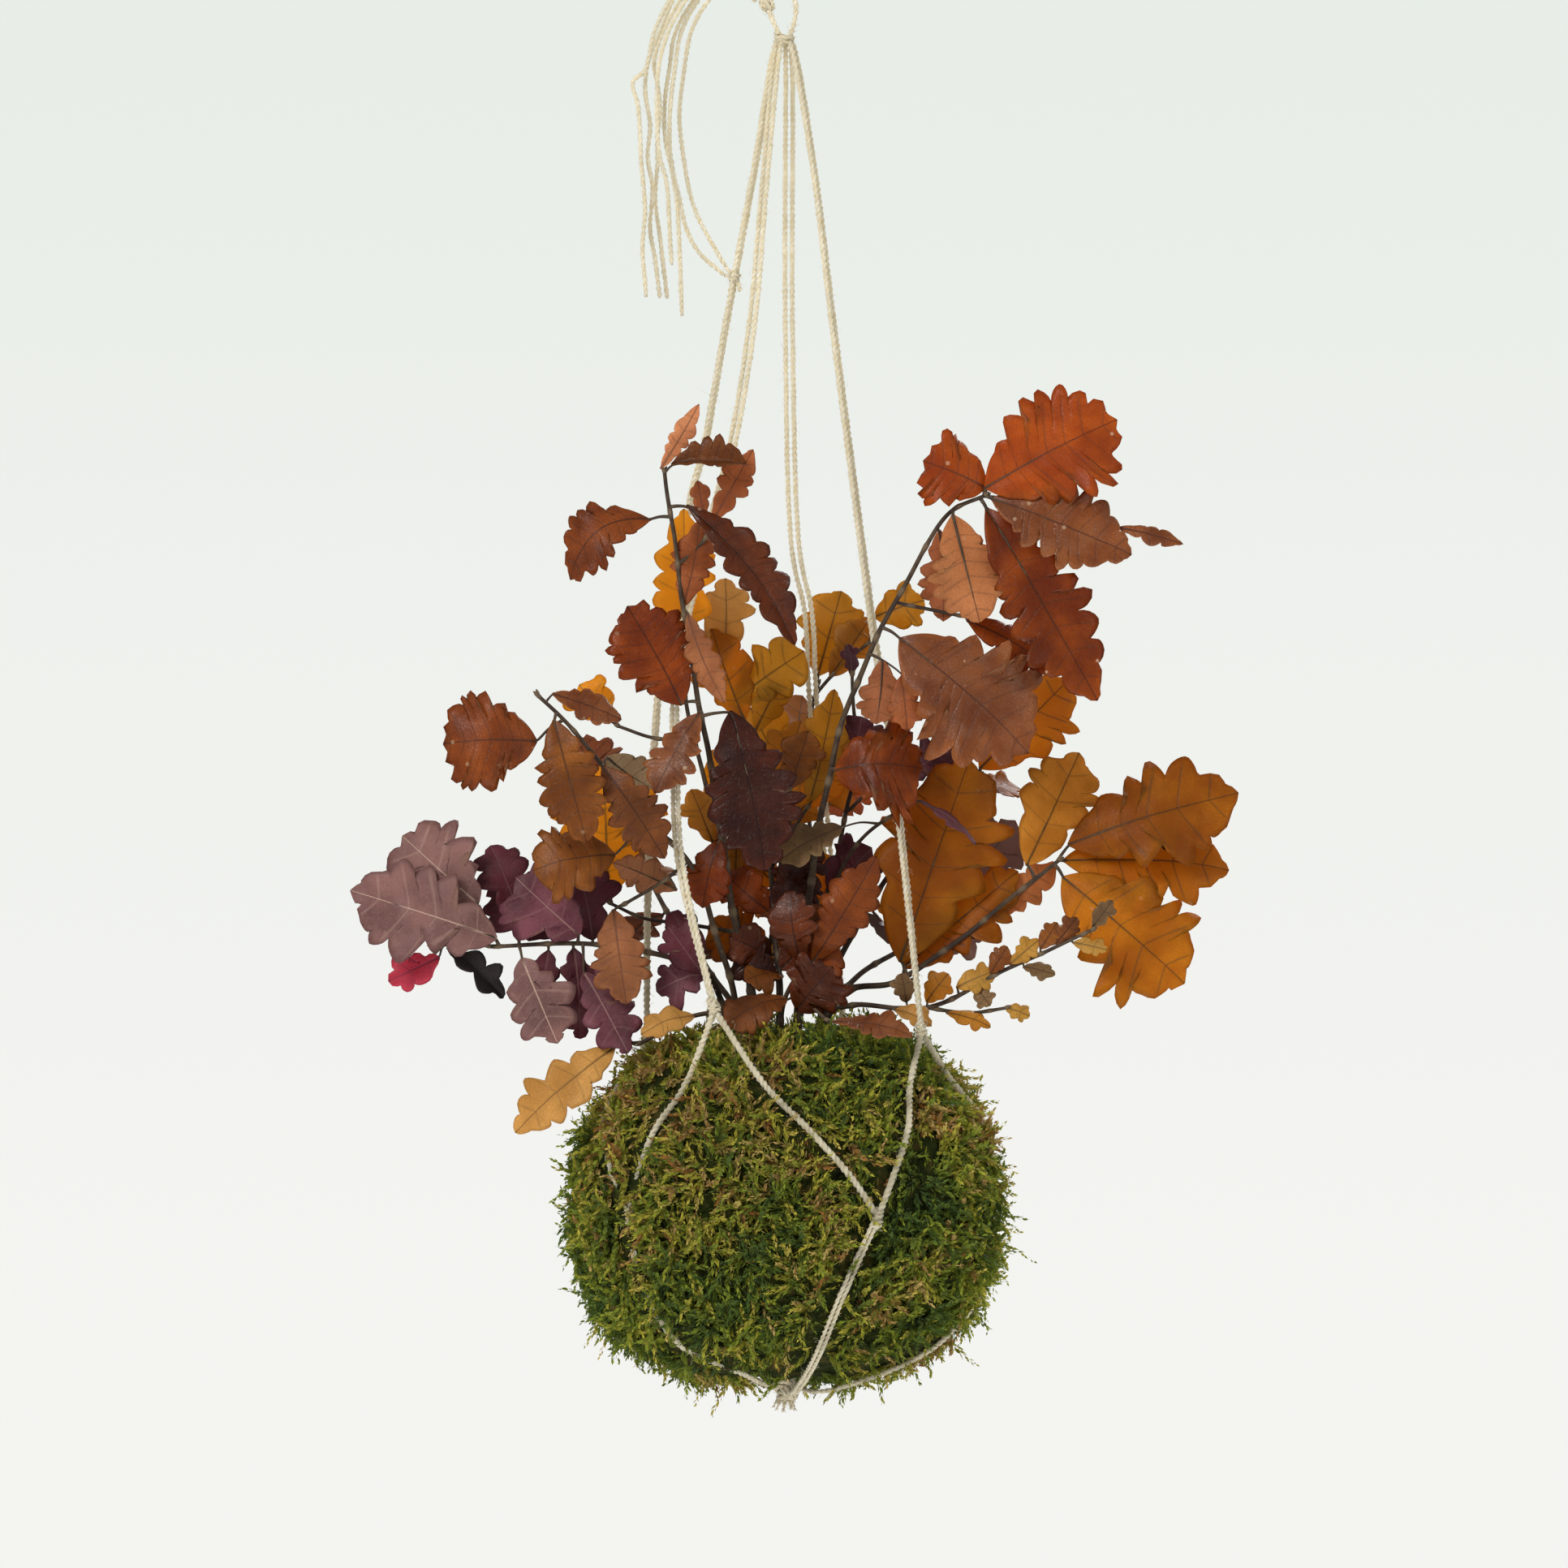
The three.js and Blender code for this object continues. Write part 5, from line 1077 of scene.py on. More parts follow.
        Leaf((-4, 40, 38), (-26, 64, 40), 22, (190, 20), 4, Tone.HONEY),
        Leaf((4, 52, 82), (-14, 52, 118), 26, (0, 0), 3, Tone.OCHRE),
        Leaf((2, 50, 70), (26, 46, 96), 26, (5, 0), 3, Tone.HAZEL),
        Leaf((-2, 40, 44), (-28, 36, 66), 26, (-10, 0), 3, Tone.HONEY),
        Leaf((-4, 34, 30), (20, 32, 56), 26, (5, 0), 3, Tone.OCHRE),
        Leaf((-6, 26, 12), (-30, 22, 30), 24, (-10, 10), 3, Tone.AMBER),
        Leaf((-6, 26, 12), (18, 24, 30), 24, (10, 10), 3, Tone.HAZEL),
    )),
    Branch("ochre_branch_back_right", "ochre_leaf", Cut.POINTED, stems=(
        Stem(((13, 7, -32), (15, 9, -8), (28, 14, 24), (46, 17, 52), (64, 15, 76), (80, 12, 90)), 1.4, 0.8),
    ), leaves=(
        Leaf((80, 11, 92), (117, 9, 129), 34, (0, 0), 4, Tone.HONEY),
        Leaf((65, 18, 79), (70, 46, 100), 22, (130, 20), 4, Tone.OCHRE),
        Leaf((50, 20, 55), (68, 50, 60), 24, (150, 30), 4, Tone.HONEY),
        Leaf((73, 16, 84), (98, 30, 84), 20, (110, 20), 3, Tone.AMBER),
        Leaf((37, 18, 36), (56, 42, 30), 20, (150, 20), 3, Tone.OCHRE),
    )),
    Branch("ochre_leaves_low", "ochre_leaf", Cut.POINTED, stems=(
        Stem(((-17, -17, -32), (-19, -19, -9), (-36, -24, -8), (-58, -25, -19)), 1.2, 0.8),
    ), leaves=(
        Leaf((-68, -26, -20), (-109, -34, -55), 22, (0, 20), 5, Tone.SAND),
        Leaf((-36, -27, -8), (-58, -34, -15), 15, (0, 40), 3, Tone.SAND),
    )),
    Branch("plum_branch_left", "plum_leaf", Cut.ROUNDED, stems=(
        Stem(((-21, -1, -32), (-24, -4, -8), (-31, -10, 8), (-45, -16, 15), (-79, -20, 21),
              (-120, -22, 20)), 1.4, 0.8),
        Stem(((-118, -22, 20), (-132, -16, 21), (-143, -13, 20)), 0.8, 0.7),
        Stem(((-31, -10, 8), (-31, -18, 8), (-32, -24, 8)), 0.8, 0.7),
    ), leaves=(
        Leaf((-124, -23, 37), (-155.5, -21, 65), 33, (0, 0), 4, Tone.MAUVE),
        Leaf((-116, -25, 23), (-176, -31, 43), 34, (0, 10), 5, Tone.MAUVE),
        Leaf((-108, -16, 32), (-120, -12, 61), 20, (10, 0), 3, Tone.PLUM),
        Leaf((-83, -22, 24), (-109, -27, 48), 32, (0, 0), 4, Tone.PURPLE),
        Leaf((-86, -18, 20), (-83, -20, -17.5), 18, (10, 0), 4, Tone.PLUM),
        Leaf((-82, -23, 10), (-63.5, -30, -23), 19, (10, 0), 4, Tone.PURPLE),
        Leaf((-140, -24, 16), (-161, -26, 6), 14, (0, 0), 2, Tone.CRIMSON),
        Leaf((-138, -19, 20), (-114.5, -15, -1), 12, (0, 30), 3, Tone.INK, fold=0.5),
        Leaf((-107, -26, 16), (-92, -32, -19), 25, (0, 0), 4, Tone.MAUVE),
        Leaf((-33, -25, 9), (-47, -30, 28), 17, (0, 0), 3, Tone.PLUM),
        Leaf((-33, -14, 12), (-46, -12, 34), 15, (0, 10), 3, Tone.PLUM),
        Leaf((-31, -16, 9), (-52, -18, 2), 17, (0, 30), 3, Tone.PURPLE),
        Leaf((-92, -14, 24), (-120, -8, 46), 26, (0, 0), 4, Tone.PLUM),
        Leaf((-78, -14, 22), (-84, -12, 52), 24, (10, 0), 4, Tone.PLUM),
        Leaf((-70, -18, 20), (-72, -20, -12), 17, (-10, 0), 4, Tone.PURPLE),
        Leaf((-96, -18, 19), (-101, -14, -12), 18, (0, 0), 4, Tone.PLUM),
    )),
    Branch("plum_branch_centre", "plum_leaf", Cut.ROUNDED, stems=(
        Stem(((6, 0, -32), (7, 1, -8), (12, 6, 20), (18, 12, 42), (26, 18, 75), (30, 20, 98),
              (28, 20, 131)), 1.3, 0.7),
        Stem(((26, 18, 75), (36, 10, 84), (45, 6, 88)), 0.8, 0.7),
        Stem(((18, 12, 42), (34, -6, 66), (53, -25, 79)), 0.8, 0.7),
    ), leaves=(
        Leaf((29, 18, 97), (32, 12, 114), 18, (0, 0), 2, Tone.PLUM),
        Leaf((28, 20, 131), (26, 20, 144), 9, (40, 0), 1, Tone.PLUM),
        Leaf((46, 5, 88), (72, 2, 101), 18, (0, 20), 3, Tone.PLUM),
        Leaf((55, -27, 80), (78, -31, 62), 14, (0, 80), 2, Tone.PURPLE),
        Leaf((24, -26, 69), (-2, -33, 55), 16, (0, 30), 3, Tone.OLIVE),
        Leaf((14, 8, 28), (-4, 6, 46), 20, (0, 0), 3, Tone.PLUM),
        Leaf((18, 12, 42), (36, 8, 60), 22, (5, 0), 3, Tone.PLUM),
    )),
    Branch("plum_branch_back", "plum_leaf", Cut.ROUNDED, stems=(
        Stem(((16, 15, -32), (18, 18, -8), (30, 32, 6), (50, 52, 18), (66, 70, 30),
              (76, 84, 44)), 1.4, 0.8),
    ), leaves=(
        Leaf((77, 85, 47), (98, 100, 70), 26, (150, 10), 4, Tone.PLUM),
        Leaf((70, 77, 37), (62, 106, 54), 26, (170, 20), 4, Tone.PURPLE),
        Leaf((58, 60, 24), (84, 68, 22), 24, (130, 20), 4, Tone.MAUVE),
        Leaf((48, 52, 18), (40, 80, 24), 24, (170, 30), 4, Tone.PLUM),
    )),
    Branch("tan_twig_right", "tan_leaf", Cut.POINTED, stems=(
        Stem(((16, -14, -32), (18, -15, -8), (28, -17, -4), (58, -19, -5), (91, -26, 11),
              (125, -38, 27)), 1.2, 0.7),
        Stem(((58, -19, -5), (76, -21, -7), (90, -23, -5)), 0.8, 0.7),
    ), leaves=(
        Leaf((70, -21, 3), (86, -23, 10), 12, (0, 20), 2, Tone.STRAW),
        Leaf((78, -22, 4), (84, -25, -4), 9, (0, 0), 1, Tone.OLIVE),
        Leaf((92, -27, 13), (104, -29, 23), 9, (0, 10), 1, Tone.STRAW),
        Leaf((97, -29, 12), (110, -35, 9), 8, (0, 30), 1, Tone.OLIVE),
        Leaf((110, -33, 21), (119, -34, 32), 9, (0, 0), 1, Tone.COCOA),
        Leaf((117, -36, 22), (131, -41, 19), 8, (0, 20), 1, Tone.STRAW),
        Leaf((125, -38, 28), (133, -40, 39), 8, (0, 0), 1, Tone.OLIVE),
        Leaf((90, -23, -5), (100, -26, -8), 8, (0, 30), 1, Tone.STRAW),
        Leaf((58, -20, -3), (67, -25, 9), 12, (0, 20), 2, Tone.HAZEL),
        Leaf((45, -19, -6), (60, -26, -12), 11, (0, 40), 2, Tone.SAND, fold=0.4),
        Leaf((66, -21, -7), (84, -26, -13), 9, (0, 40), 2, Tone.HAZEL),
        Leaf((104, -31, 19), (111, -32, 30), 9, (0, 0), 2, Tone.BRONZE),
        Leaf((84, -25, 9), (91, -26, 20), 9, (0, 10), 2, Tone.BRONZE),
        Leaf((50, -18, -3), (48, -22, 9), 10, (0, 10), 2, Tone.OLIVE),
    )),
)

LEGS: dict[str, Route] = {
    "front_left": ((-2.3, -2.6, -20.4), (-8, -8, -78), (-13, -16, -135), (-21, -22, -185),
                   (-29, -27, -215), (-43, -35, -274), (-44, -41, -322), (-42, -46, -355), (-28, -54, -415)),
    "back_left": ((-3, 2.2, -20.4), (-12, 5, -70), (-24, 9, -135), (-33, 13, -185), (-38, 14, -204),
                  (-50, 19, -268), (-56, 25, -356), (-57, 31, -432)),
    "back_right": ((1.6, 3.1, -20.4), (2, 15, -135), (5, 27, -228), (10, 31, -252), (12, 35, -288),
                   (19, 45, -362), (25, 54, -428)),
    "front_right": ((3.3, -1.8, -20.4), (12, -5, -70), (20, -9, -135), (32, -16, -228), (37, -19, -265),
                    (43, -22, -302), (47, -25, -338), (56, -31, -425)),
}

TAILS: dict[str, Route] = {
    "kinked": ((-7.8, -1.4, 0.9), (-10, -3, 9), (-17, -4.5, 16), (-26, -5, 18), (-36, -5.5, 13),
               (-45, -5.5, 1), (-53, -5.5, -15), (-57, -5, -31), (-62, -5, -36), (-60, -5, -45),
               (-59, -4.5, -58), (-58.5, -4, -70), (-57, -4, -87), (-58, -4, -104), (-56.5, -4, -124)),
    "left_outer": ((-10.1, 0, 0), (-14.5, 0, 8), (-25, 0, 15.5), (-35, -1, 11.5), (-44, -1.5, 1),
                   (-51, -1.5, -15), (-56, -1.5, -28), (-57, -0.5, -39), (-55, 0, -53), (-56, 0, -66),
                   (-54, 0, -79), (-55, 0, -96), (-53, 0.5, -108), (-51, 1, -124)),
    "left_inner": ((-7.8, 1.4, 0.9), (-10, 3, 8), (-17, 4.5, 14), (-26, 4.5, 15.5), (-35, 4, 10),
                   (-43, 3, -2), (-50, 2.5, -15), (-53.5, 2.8, -28), (-52, 4, -36), (-51, 4, -46),
                   (-52, 4, -57), (-52, 4, -68), (-53, 4, -83), (-51, 4.5, -99), (-48, 4, -124)),
    "middle_short": ((-9.6, -2.7, -0.6), (-13, -6, 5), (-22, -8.5, 11), (-31, -9, 8), (-39, -9, -1),
                     (-47, -9, -15), (-51, -8.5, -28), (-52, -8, -40), (-52, -8, -53), (-51, -8, -66),
                     (-48, -7, -78), (-47, -7, -94), (-46, -7, -111)),
    "middle_long": ((-9.6, 2.7, -0.6), (-13, 6, 5), (-21, 8.5, 10.5), (-30, 9, 7), (-38, 8, -2),
                    (-45, 8, -15), (-47, 8, -28), (-49, 8, -42), (-49, 7.5, -57), (-46, 7, -72),
                    (-44, 7, -85), (-43, 7, -103), (-42, 7, -131)),
    "tied_left": ((-11.4, -1.4, -2.1), (-15, -3, 2), (-20, -4, 6.5), (-28, -4.5, 6), (-35, -4.5, -2),
                  (-42, -4.5, -15), (-45, -4, -32), (-47, -3, -53), (-46, -2, -70), (-43, 0, -83),
                  (-40, 2, -96), (-35, 4, -105), (-24.6, 6.2, -114.3)),
    "tied_right": ((-11.4, 1.4, -2.1), (-15, 2, 0.8), (-20, 2.5, 4), (-26, 3, 3), (-32, 3, -3),
                   (-38, 2.5, -14), (-41, 3, -30), (-43, 3.5, -49), (-41, 4, -68), (-37.5, 5, -85),
                   (-32, 6, -97), (-24, 7.4, -110.8)),
}

# Twine and net

MID_KNOTS: dict[str, tuple[float, tuple[str, str]]] = {
    "front": (-65, ("front_left", "front_right")),
    "left": (-141, ("back_left", "front_left")),
    "right": (12, ("front_right", "back_right")),
    "back": (105, ("back_right", "back_left")),
}
WAY_DOWN = ((0.4, 37), (0.66, 23), (0.87, 10), (1.0, 0))
NET_LIFTS = (NET_LIFT,) * 4 + (2.2, 2.4, 3.2, 4.0, 4.4)  # down a side, from the knot on the shoulder
BURIED_LIFTS = {"left": (1.0, -0.6, -2.4, -2.6, -2.4, -2.8, -0.6, -1.0, 2.4)}  # where the moss grows over it
LOWER_LATITUDES = (0, -20, -40, -58, -74)
DRIFT = {  # degrees by which the strands below a mid knot leave its azimuth
    "front": (0, -9, -14, -17, -20),
    "left": (0, 2, 8, 22, 40),
    "right": (0, -14, -36, -56, -76),
    "back": (0, 0, 0, 0, 0),
}
STRAND_TURN = 0.66  # degrees from the middle of a doubled strand to each half
LEG_SPREAD = (2.3, 3.2, 0.8)
BOTTOM_KNOT = np.array((1.0, -18.0, -568.5))
BOTTOM_TURNS = (  # offset, axis and size of each of the knots that are tied on each other there
    ((0, 0, 4.0), (0.5, 0.1, 1), 4.4),
    ((-1.5, -1.5, 0.5), (0.2, 0.5, 1), 5.4),
    ((1, -1.5, -2.5), (1, 0.3, 0.4), 5.0),
    ((0, -0.5, -4.5), (0.2, 0.1, 1), 4.4),
)
FRAYED_ENDS = 8
LOOP_KNOT = np.array((-7.2, 0.0, -3.5))
LOOP_ARCH: Route = ((-6, 0, -4), (-4.6, 0, -0.4), (-2.4, 0, 1), (0.6, 0, 1.4), (3.2, 0, 0.4), (4.8, 0, -3),
                    (4.6, 0, -9), (2, 0, -18))
LOOP_SIDE: Route = ((-6.5, 0, -5), (-4.6, 0, -10), (-1, 0, -18))
TIE = np.array((-20.4, 7.7, -115.0))
TIE_END = np.array((-18.2, 6.0, -121.0))


def ball_reach(latitude: float) -> float:
    """Distance from the ball's centre to its surface, the latitude in radians."""
    level = abs(math.cos(latitude)) / BALL_RADIUS
    upright = abs(math.sin(latitude)) / BALL_HALF_HEIGHT
    return (level**BALL_SQUARENESS + upright**BALL_SQUARENESS) ** (-1 / BALL_SQUARENESS)


def over_ball(azimuth: float, latitude: float, lift: float = NET_LIFT) -> np.ndarray:
    """A point over the ball, the angles in degrees."""
    a, b = math.radians(azimuth), math.radians(latitude)
    way = np.array((math.cos(b) * math.cos(a), math.cos(b) * math.sin(a), math.sin(b)))
    return BALL_CENTRE + way * (ball_reach(b) + lift)


PLY_OFFSET = 0.22  # this and the next are shares of the twine's width
PLY_RADIUS = 0.285
FIBRE_RADIUS = 0.055


@dataclass
class Twine:
    """Lengths of two-ply twine in one piece, with their knots and stray fibres."""

    name: str
    finish: TwineFinish
    seed: int
    spacing: float = 1.25
    lay: float = 5.2  # length of one full turn of the two plies

    def __post_init__(self) -> None:
        """Starts an empty heap."""
        self.heap = Heap()
        self.chance = np.random.default_rng(self.seed)

    def run(self, points: Route | np.ndarray, width: float = TWINE, fuzz: float = 0.35,
            reach: float = 2.4) -> np.ndarray:
        """Lays a length of twine.

        Args:
            points: the route.
            width: of the twine.
            fuzz: stray fibres for each millimetre.
            reach: how far a fibre may stand off.

        Returns:
            The twine's own line.
        """
        line = spline(points, self.spacing)
        ahead, first, second = frames(line)
        turn = (np.arange(len(line)) * self.spacing * 2 * np.pi / self.lay + self.seed)[:, None]
        swing = first * np.cos(turn) + second * np.sin(turn)
        thick = 1 + 0.07 * np.sin(turn[:, 0] * 0.37) + 0.05 * np.sin(turn[:, 0] * 1.7 + 1)
        thick[[0, -1]] *= 0.5
        for ply, way in enumerate((-1, 1)):
            self.heap.tube(line + way * swing * PLY_OFFSET * width, PLY_RADIUS * width * thick, 5,
                           strand=float(ply))
        for _ in range(int(len(line) * self.spacing * fuzz)):
            self.fibre(line, ahead, swing, width, reach)
        return line

    def fibre(self, line: np.ndarray, ahead: np.ndarray, swing: np.ndarray, width: float,
              reach: float) -> None:
        """Adds one stray fibre that leaves the twine and curls."""
        i = self.chance.integers(1, len(line) - 1)
        round_it = np.cross(ahead[i], swing[i])
        out = unit(swing[i] * self.chance.choice((-1, 1)) + round_it * self.chance.normal())
        along = ahead[i] * self.chance.choice((-1, 1)) * self.chance.uniform(0.4, 1.2)
        curl = np.cross(along, out) * self.chance.normal(0, 0.8)
        t = np.linspace(0, 1, 5)[:, None]
        size = reach * self.chance.uniform(0.25, 0.95)
        path = line[i] + out * width * 0.4 + (out * np.sin(t * 2.0) * 0.75 + along * t + curl * t * t) * size
        self.heap.tube(path, FIBRE_RADIUS, 3, strand=2.0)

    def coil(self, centre: np.ndarray, axis: np.ndarray, radius: float, pitch: float, turns: float,
             width: float = TWINE, fuzz: float = 0.5) -> None:
        """Winds twine round an axis."""
        axis = unit(np.asarray(axis, float))
        side = unit(np.cross(axis, (0.3, 0.9, 0.2)))
        other = np.cross(axis, side)
        angle = np.linspace(0, 2 * np.pi * turns, int(turns * 10) + 2)
        wobble = radius * (1 + 0.05 * np.sin(angle * 1.3 + self.seed))[:, None]
        path = (centre + (side * np.cos(angle)[:, None] + other * np.sin(angle)[:, None]) * wobble
                + axis * (angle / (2 * np.pi) * pitch - turns * pitch / 2)[:, None])
        self.run(path, width, fuzz)

    def knot(self, centre: np.ndarray, axis: np.ndarray, size: float, width: float = TWINE) -> None:
        """Ties a small tight knot: two turns round the axis with a third laid slantwise over them."""
        axis = unit(np.asarray(axis, float))
        side = unit(np.cross(axis, (0.2, 0.5, 0.8)))
        radius = size - width * 0.52
        self.coil(centre, axis, radius, width * 0.82, 1.9, width)
        self.coil(centre, unit(axis + side * 1.1), radius * 1.04, 0.3, 1.0, width * 0.95)
        self.coil(centre, axis, radius * 0.5, width * 1.4, 2.0, width)

    def build(self, *nodes: str) -> bpy.types.Object:
        """Makes the piece for those nodes."""
        piece = self.heap.piece(self.name, self.finish.material(self.name + "_cotton"))
        return report(piece, "twine", *nodes)


@dataclass
class Net:
    """The hanging loop, the four legs, the net round the ball and the loose ends."""

    clean: TwineFinish = TwineFinish()
    mossy: TwineFinish = TwineFinish(damp=0.55)

    def __post_init__(self) -> None:
        """Starts the list of lines that the moss keeps clear of."""
        self.lines: list[np.ndarray] = []

    def tail(self, name: str, seed: int) -> None:
        twine = Twine(f"loose_end_{name}", self.clean, seed)
        line = twine.run(TAILS[name], fuzz=1.0, reach=1.15)
        piece = twine.build(f"tail_{name}")

    def loop(self) -> None:
        """The loop over its hook, its knot, and the gather under it."""
        twine = Twine("loop_twine", self.clean, 3)
        for shift in (-1.2, 1.2):
            for route in (LOOP_ARCH, LOOP_SIDE):
                twine.run(np.asarray(route) + (0, shift, 0), 2.4)
        twine.coil(np.array((0.0, 0.0, -17.7)), (0.15, 0, 1), 3.4, 1.9, 2.2)
        twine.coil(np.array((0.0, 0.0, -18.0)), (-0.25, 0.1, 1), 3.5, 0.6, 1.0)
        twine.knot(LOOP_KNOT, (0.6, 0.5, 0.5), 3.9)
        twine.build("hanging_loop")

    def leg(self, name: str, seed: int) -> None:
        """Two strands that run side by side from the gather to a knot on the ball's shoulder."""
        path = np.array(LEGS[name])
        twine = Twine(f"leg_{name}_twine", self.clean, seed)
        share = (path[:, 2] - path[-1, 2]) / (path[0, 2] - path[-1, 2])
        least, middle, last = LEG_SPREAD
        spread = least + (middle - least) * np.sin(np.pi * share)
        spread[-1] = last
        outward = unit(path * (1, 1, 0))
        across = np.stack([-outward[:, 1], outward[:, 0], 0 * share], 1)
        for way in (-1, 1):
            strand = path + across * (way * spread / 2)[:, None]
            start = strand[0] * (0.55, 0.55, 1) + (0, 0, 2.6)
            self.lines.append(twine.run(np.vstack([start, strand]), 2.5))
        ahead = unit(path[-1] - path[-2])
        twine.knot(path[-1], ahead, 3.0)
        twine.knot(path[-1] - ahead * 2.6, ahead + across[-1], 2.7)
        if name == "back_left":
            twine.knot(TIE, (0.3, 0.2, 1), 2.8)
            for tail in ("tied_left", "tied_right"):
                end = np.array(TAILS[tail][-1])
                twine.run(np.stack([end, end * 0.5 + TIE * 0.5, TIE]))
            twine.run(np.stack([TIE, (TIE + TIE_END) / 2 + (0.6, 0, 0), TIE_END]), fuzz=1.5)
        twine.build(f"leg_{name}")

    def side(self, name: str, seed: int) -> None:
        """One mid knot with the strands that come to it from above and the two that go on below."""
        azimuth, legs = MID_KNOTS[name]
        twine = Twine(f"net_{name}_twine", self.mossy, seed)
        lifts = BURIED_LIFTS.get(name, NET_LIFTS)
        for leg in legs:
            start = np.array(LEGS[leg][-1])
            from_ball = start - BALL_CENTRE
            turn = math.degrees(math.atan2(from_ball[1], from_ball[0]))
            turn += 360 * round((azimuth - turn) / 360)
            places = [over_ball(turn + (azimuth - turn) * share, latitude, lift)
                      for (share, latitude), lift in zip(WAY_DOWN, lifts)]
            start = start + unit(places[0] - start) * 1.5
            self.lines.append(twine.run(np.vstack([start, places]), 3.1, fuzz=0.5))
        for way in (-1, 1):
            route = [over_ball(azimuth + drift + way * STRAND_TURN / math.cos(math.radians(latitude)),
                               latitude, lift)
                     for latitude, drift, lift in zip(LOWER_LATITUDES, DRIFT[name], lifts[4:])]
            route.append(BOTTOM_KNOT + (way, 0, 2.0))
            self.lines.append(twine.run(np.array(route), 2.0, fuzz=0.6))
        knot = over_ball(azimuth, 0, lifts[3])
        twine.knot(knot + (0, 0, 1.2), (0, 0, 1), 2.6, 1.9)
        twine.knot(knot + (0, 0, -2.6), (0.1, 0, 1), 2.3, 1.7)
        twine.build(f"net_{name}")

    def bottom(self) -> None:
        """The knot under the ball with its frayed ends."""
        twine = Twine("bottom_knot_twine", self.clean, 61)
        for offset, axis, size in BOTTOM_TURNS:
            twine.knot(BOTTOM_KNOT + offset, axis, size)
        for k in range(FRAYED_ENDS):
            angle = 2 * math.pi * k / FRAYED_ENDS + 0.4
            spread = 2.4 + 3.2 * ((k * 0.618) % 1)
            drop = -8.4 - 1.7 * ((k * 0.37) % 1)
            end = BOTTOM_KNOT + (spread * math.cos(angle), spread * math.sin(angle), drop)
            halfway = BOTTOM_KNOT * 0.5 + end * 0.5 + (0, 0, -0.6)
            twine.run(np.stack([BOTTOM_KNOT, halfway, end]), 1.7, fuzz=2.2)
            for n in range(10):
                way = unit(end - BOTTOM_KNOT) + np.array((math.cos(2.4 * n), math.sin(2.4 * n), 0)) * 0.5
                twine.heap.tube(end - way * 0.5 + way * np.linspace(0, 2.2, 3)[:, None], 0.09, 3, strand=2.0)
        twine.build("bottom_knot")


# Moss and soil

FLOW_SEED = 29  # Blender would otherwise take the offsets of its vector noise from the clock
FRONT_LIMIT = 98.0
SHOOT_LENGTHS = (7.5, 14.0)
LEAFLET_TURN = 2.4  # radians round the stem from one leaflet to the next
WIDEST_LEAFLET = 1.95
TUFT = 7.5  # width of a tuft
LOWEST = -556  # height at which the ball's underside begins
KNOT_CLEARANCE = 12.0
OVER_SHARE = 0.06  # of the shoots beside a strand, those that grow over it
DRY_SHARE = 0.1
FRESH_SHARE = 0.14
SPRIG_LENGTH = 12
SPRIG_EXTRA = 11  # that the longest sprigs have on top
SHORTEST_SPRIG = 5.0
SPRIG_CLEARANCE = 16
LONE_SPRIGS = 190
RAGGED = (  # azimuth, latitude and number of the sprigs of each bunch
    (4, -2, 14), (-8, -14, 12), (172, -30, 10), (-176, 8, 9), (-40, -60, 14), (-70, -70, 12), (-20, 30, 10),
    (-95, 66, 10), (-60, 68, 12), (-30, 64, 12), (60, 50, 9), (120, -20, 9), (95, 20, 9), (150, -50, 9),
    (-120, -38, 8), (30, -40, 9), (-150, 52, 8), (86, 12, 9), (-86, 2, 12), (87, -28, 9), (-88, -30, 9),
    (84, 42, 8), (-84, 40, 9), (-52, 60, 14), (-60, 54, 10),
)


